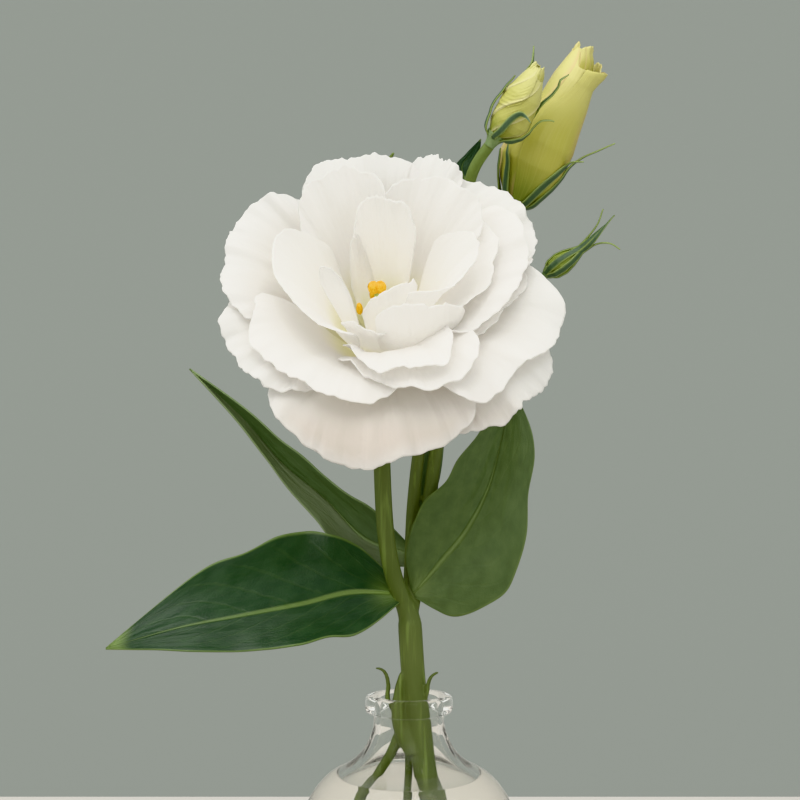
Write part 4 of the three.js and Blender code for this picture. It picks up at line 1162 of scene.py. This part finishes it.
def clear_finish(name, colour, ior, clarity, edge, shadow):
    """Clear stuff with pale edges: it bends the view, and lets the lamp's light straight through."""
    paint = Finish(name)
    body = paint.node("BsdfPrincipled", {}, {
        "Base Color": (*colour, 1), "Roughness": 0.0, "IOR": ior, "Transmission Weight": clarity,
        "Sheen Weight": edge, "Sheen Roughness": 0.25, "Sheen Tint": (*EDGE_TINT, 1)})
    gap = paint.node("BsdfTransparent", {}, {"Color": (*shadow, 1)})
    lamp_ray = paint.node("LightPath", {}, {}, "Is Shadow Ray")
    return paint.end(paint.node("MixShader", {}, {0: lamp_ray, 1: body, 2: gap}))


bottle_glass = clear_finish("bottle_glass", (0.985, 0.98, 0.96), 1.18, 1.0, 0.65, (0.93, 0.95, 0.93))
clear_water = clear_finish("clear_water", (0.985, 0.975, 0.95), 1.15, 0.96, 0.0, (0.97, 0.98, 0.97))
print("finishes:", bottle_glass.name, clear_water.name)

# %% The bottle and the water
BODY_RADIUS = 26
SHOULDER_HEIGHT = 49
BOTTLE_HEIGHT = 84
MOUTH_RADIUS = 6.6
WALL = 2
BASE_THICKNESS = 4
HEEL_RADIUS = 6
FOOT_RADIUS = 17.5                  # of the inner edge of the flat ring that the bottle stands on
FOOT_ROUNDING = 1.5
HOLLOW_RADIUS = 12
HOLLOW_HEIGHT = 0.9                 # of the base's middle over the table
SPIN_STEPS = 96
# outside and inside in the half section, as [radius, height]
SHOULDER = [[BODY_RADIUS, SHOULDER_HEIGHT], [24.5, 56], [22, 61.4], [18.4, 65.6], [13.6, 68.4],
            [10.6, 71.2], [8.7, 74.8], [8, 77.5], [8, 79.2]]
LIP = [SHOULDER[-1], [8.4, 79.8], [9.4, 80.1], [9.85, 80.8], [9.9, 82.9], [9.5, 83.8],
       [8.4, BOTTLE_HEIGHT], [7.3, 83.9], [6.7, 83.3], [MOUTH_RADIUS, 82]]
INSIDE = [LIP[-1], [MOUTH_RADIUS, 77], [7, 74], [9, 69.8], [12.2, 66.4], [17.2, 63.4], [20.2, 60],
          [22.5, 54.8], [BODY_RADIUS - WALL, SHOULDER_HEIGHT]]
OVERLAP = 0.15                      # how far the water reaches into the glass
WATER_LEVEL = 64.3
WET_WALL_TOP = 64.2                 # where the line of the wall gives way to the meniscus
MENISCUS = [[0, WATER_LEVEL], [13.5, WATER_LEVEL], [14.9, 64.45], [15.9, 64.9]]


def smooth(points, steps):
    """The points of a smooth curve through [radius, height] pairs."""
    return [tuple(row) for row in spline(points, np.linspace(0, 1, steps))]


def rounding(radius, height, bend, first, last, steps=8):
    """Points of an arc in the half section, angles in degrees."""
    turns = np.radians(np.linspace(first, last, steps))
    return [(radius + bend * math.cos(t), height + bend * math.sin(t)) for t in turns]


def spun(name, section, finish, nodes):
    """A round body from its half section of [radius, height] pairs in mm."""
    bm = bmesh.new()
    verts = [bm.verts.new((r * MM, 0, z * MM)) for r, z in section]
    edges = [bm.edges.new(pair) for pair in zip(verts, verts[1:])]
    bmesh.ops.spin(bm, geom=verts + edges, cent=(0, 0, 0), axis=(0, 0, 1), dvec=(0, 0, 0),
                   angle=2 * math.pi, steps=SPIN_STEPS, use_merge=True)
    bmesh.ops.remove_doubles(bm, verts=bm.verts, dist=SEAM)
    bmesh.ops.recalc_face_normals(bm, faces=bm.faces)
    return add_piece(name, bm, finish, nodes)


inner_heel = HEEL_RADIUS - WALL
inner_corner = BODY_RADIUS - WALL - inner_heel
inner_floor = rounding(inner_corner, BASE_THICKNESS + inner_heel, inner_heel, 0, -90)
inner_wall = smooth(INSIDE, 48)
foot = rounding(FOOT_RADIUS, FOOT_ROUNDING, FOOT_ROUNDING, 200, 270, steps=5)
heel = rounding(BODY_RADIUS - HEEL_RADIUS, HEEL_RADIUS, HEEL_RADIUS, -90, 0)
bottle_section = [(0, HOLLOW_HEIGHT), (HOLLOW_RADIUS, HOLLOW_HEIGHT), *foot, *heel, *smooth(SHOULDER, 48),
                  *smooth(LIP, 36)[1:], *inner_wall[1:], *inner_floor, (0, BASE_THICKNESS)]
spun("glass_bottle", bottle_section, bottle_glass, ["bottle"])

water_floor = [(r + OVERLAP, z - OVERLAP) for r, z in inner_floor][::-1]
water_wall = [(r + OVERLAP, z) for r, z in inner_wall if z < WET_WALL_TOP][::-1]
water_section = [(0, BASE_THICKNESS - OVERLAP), *water_floor, *water_wall, *smooth(MENISCUS, 16)[::-1]]
spun("water_body", water_section, clear_water, ["water"])
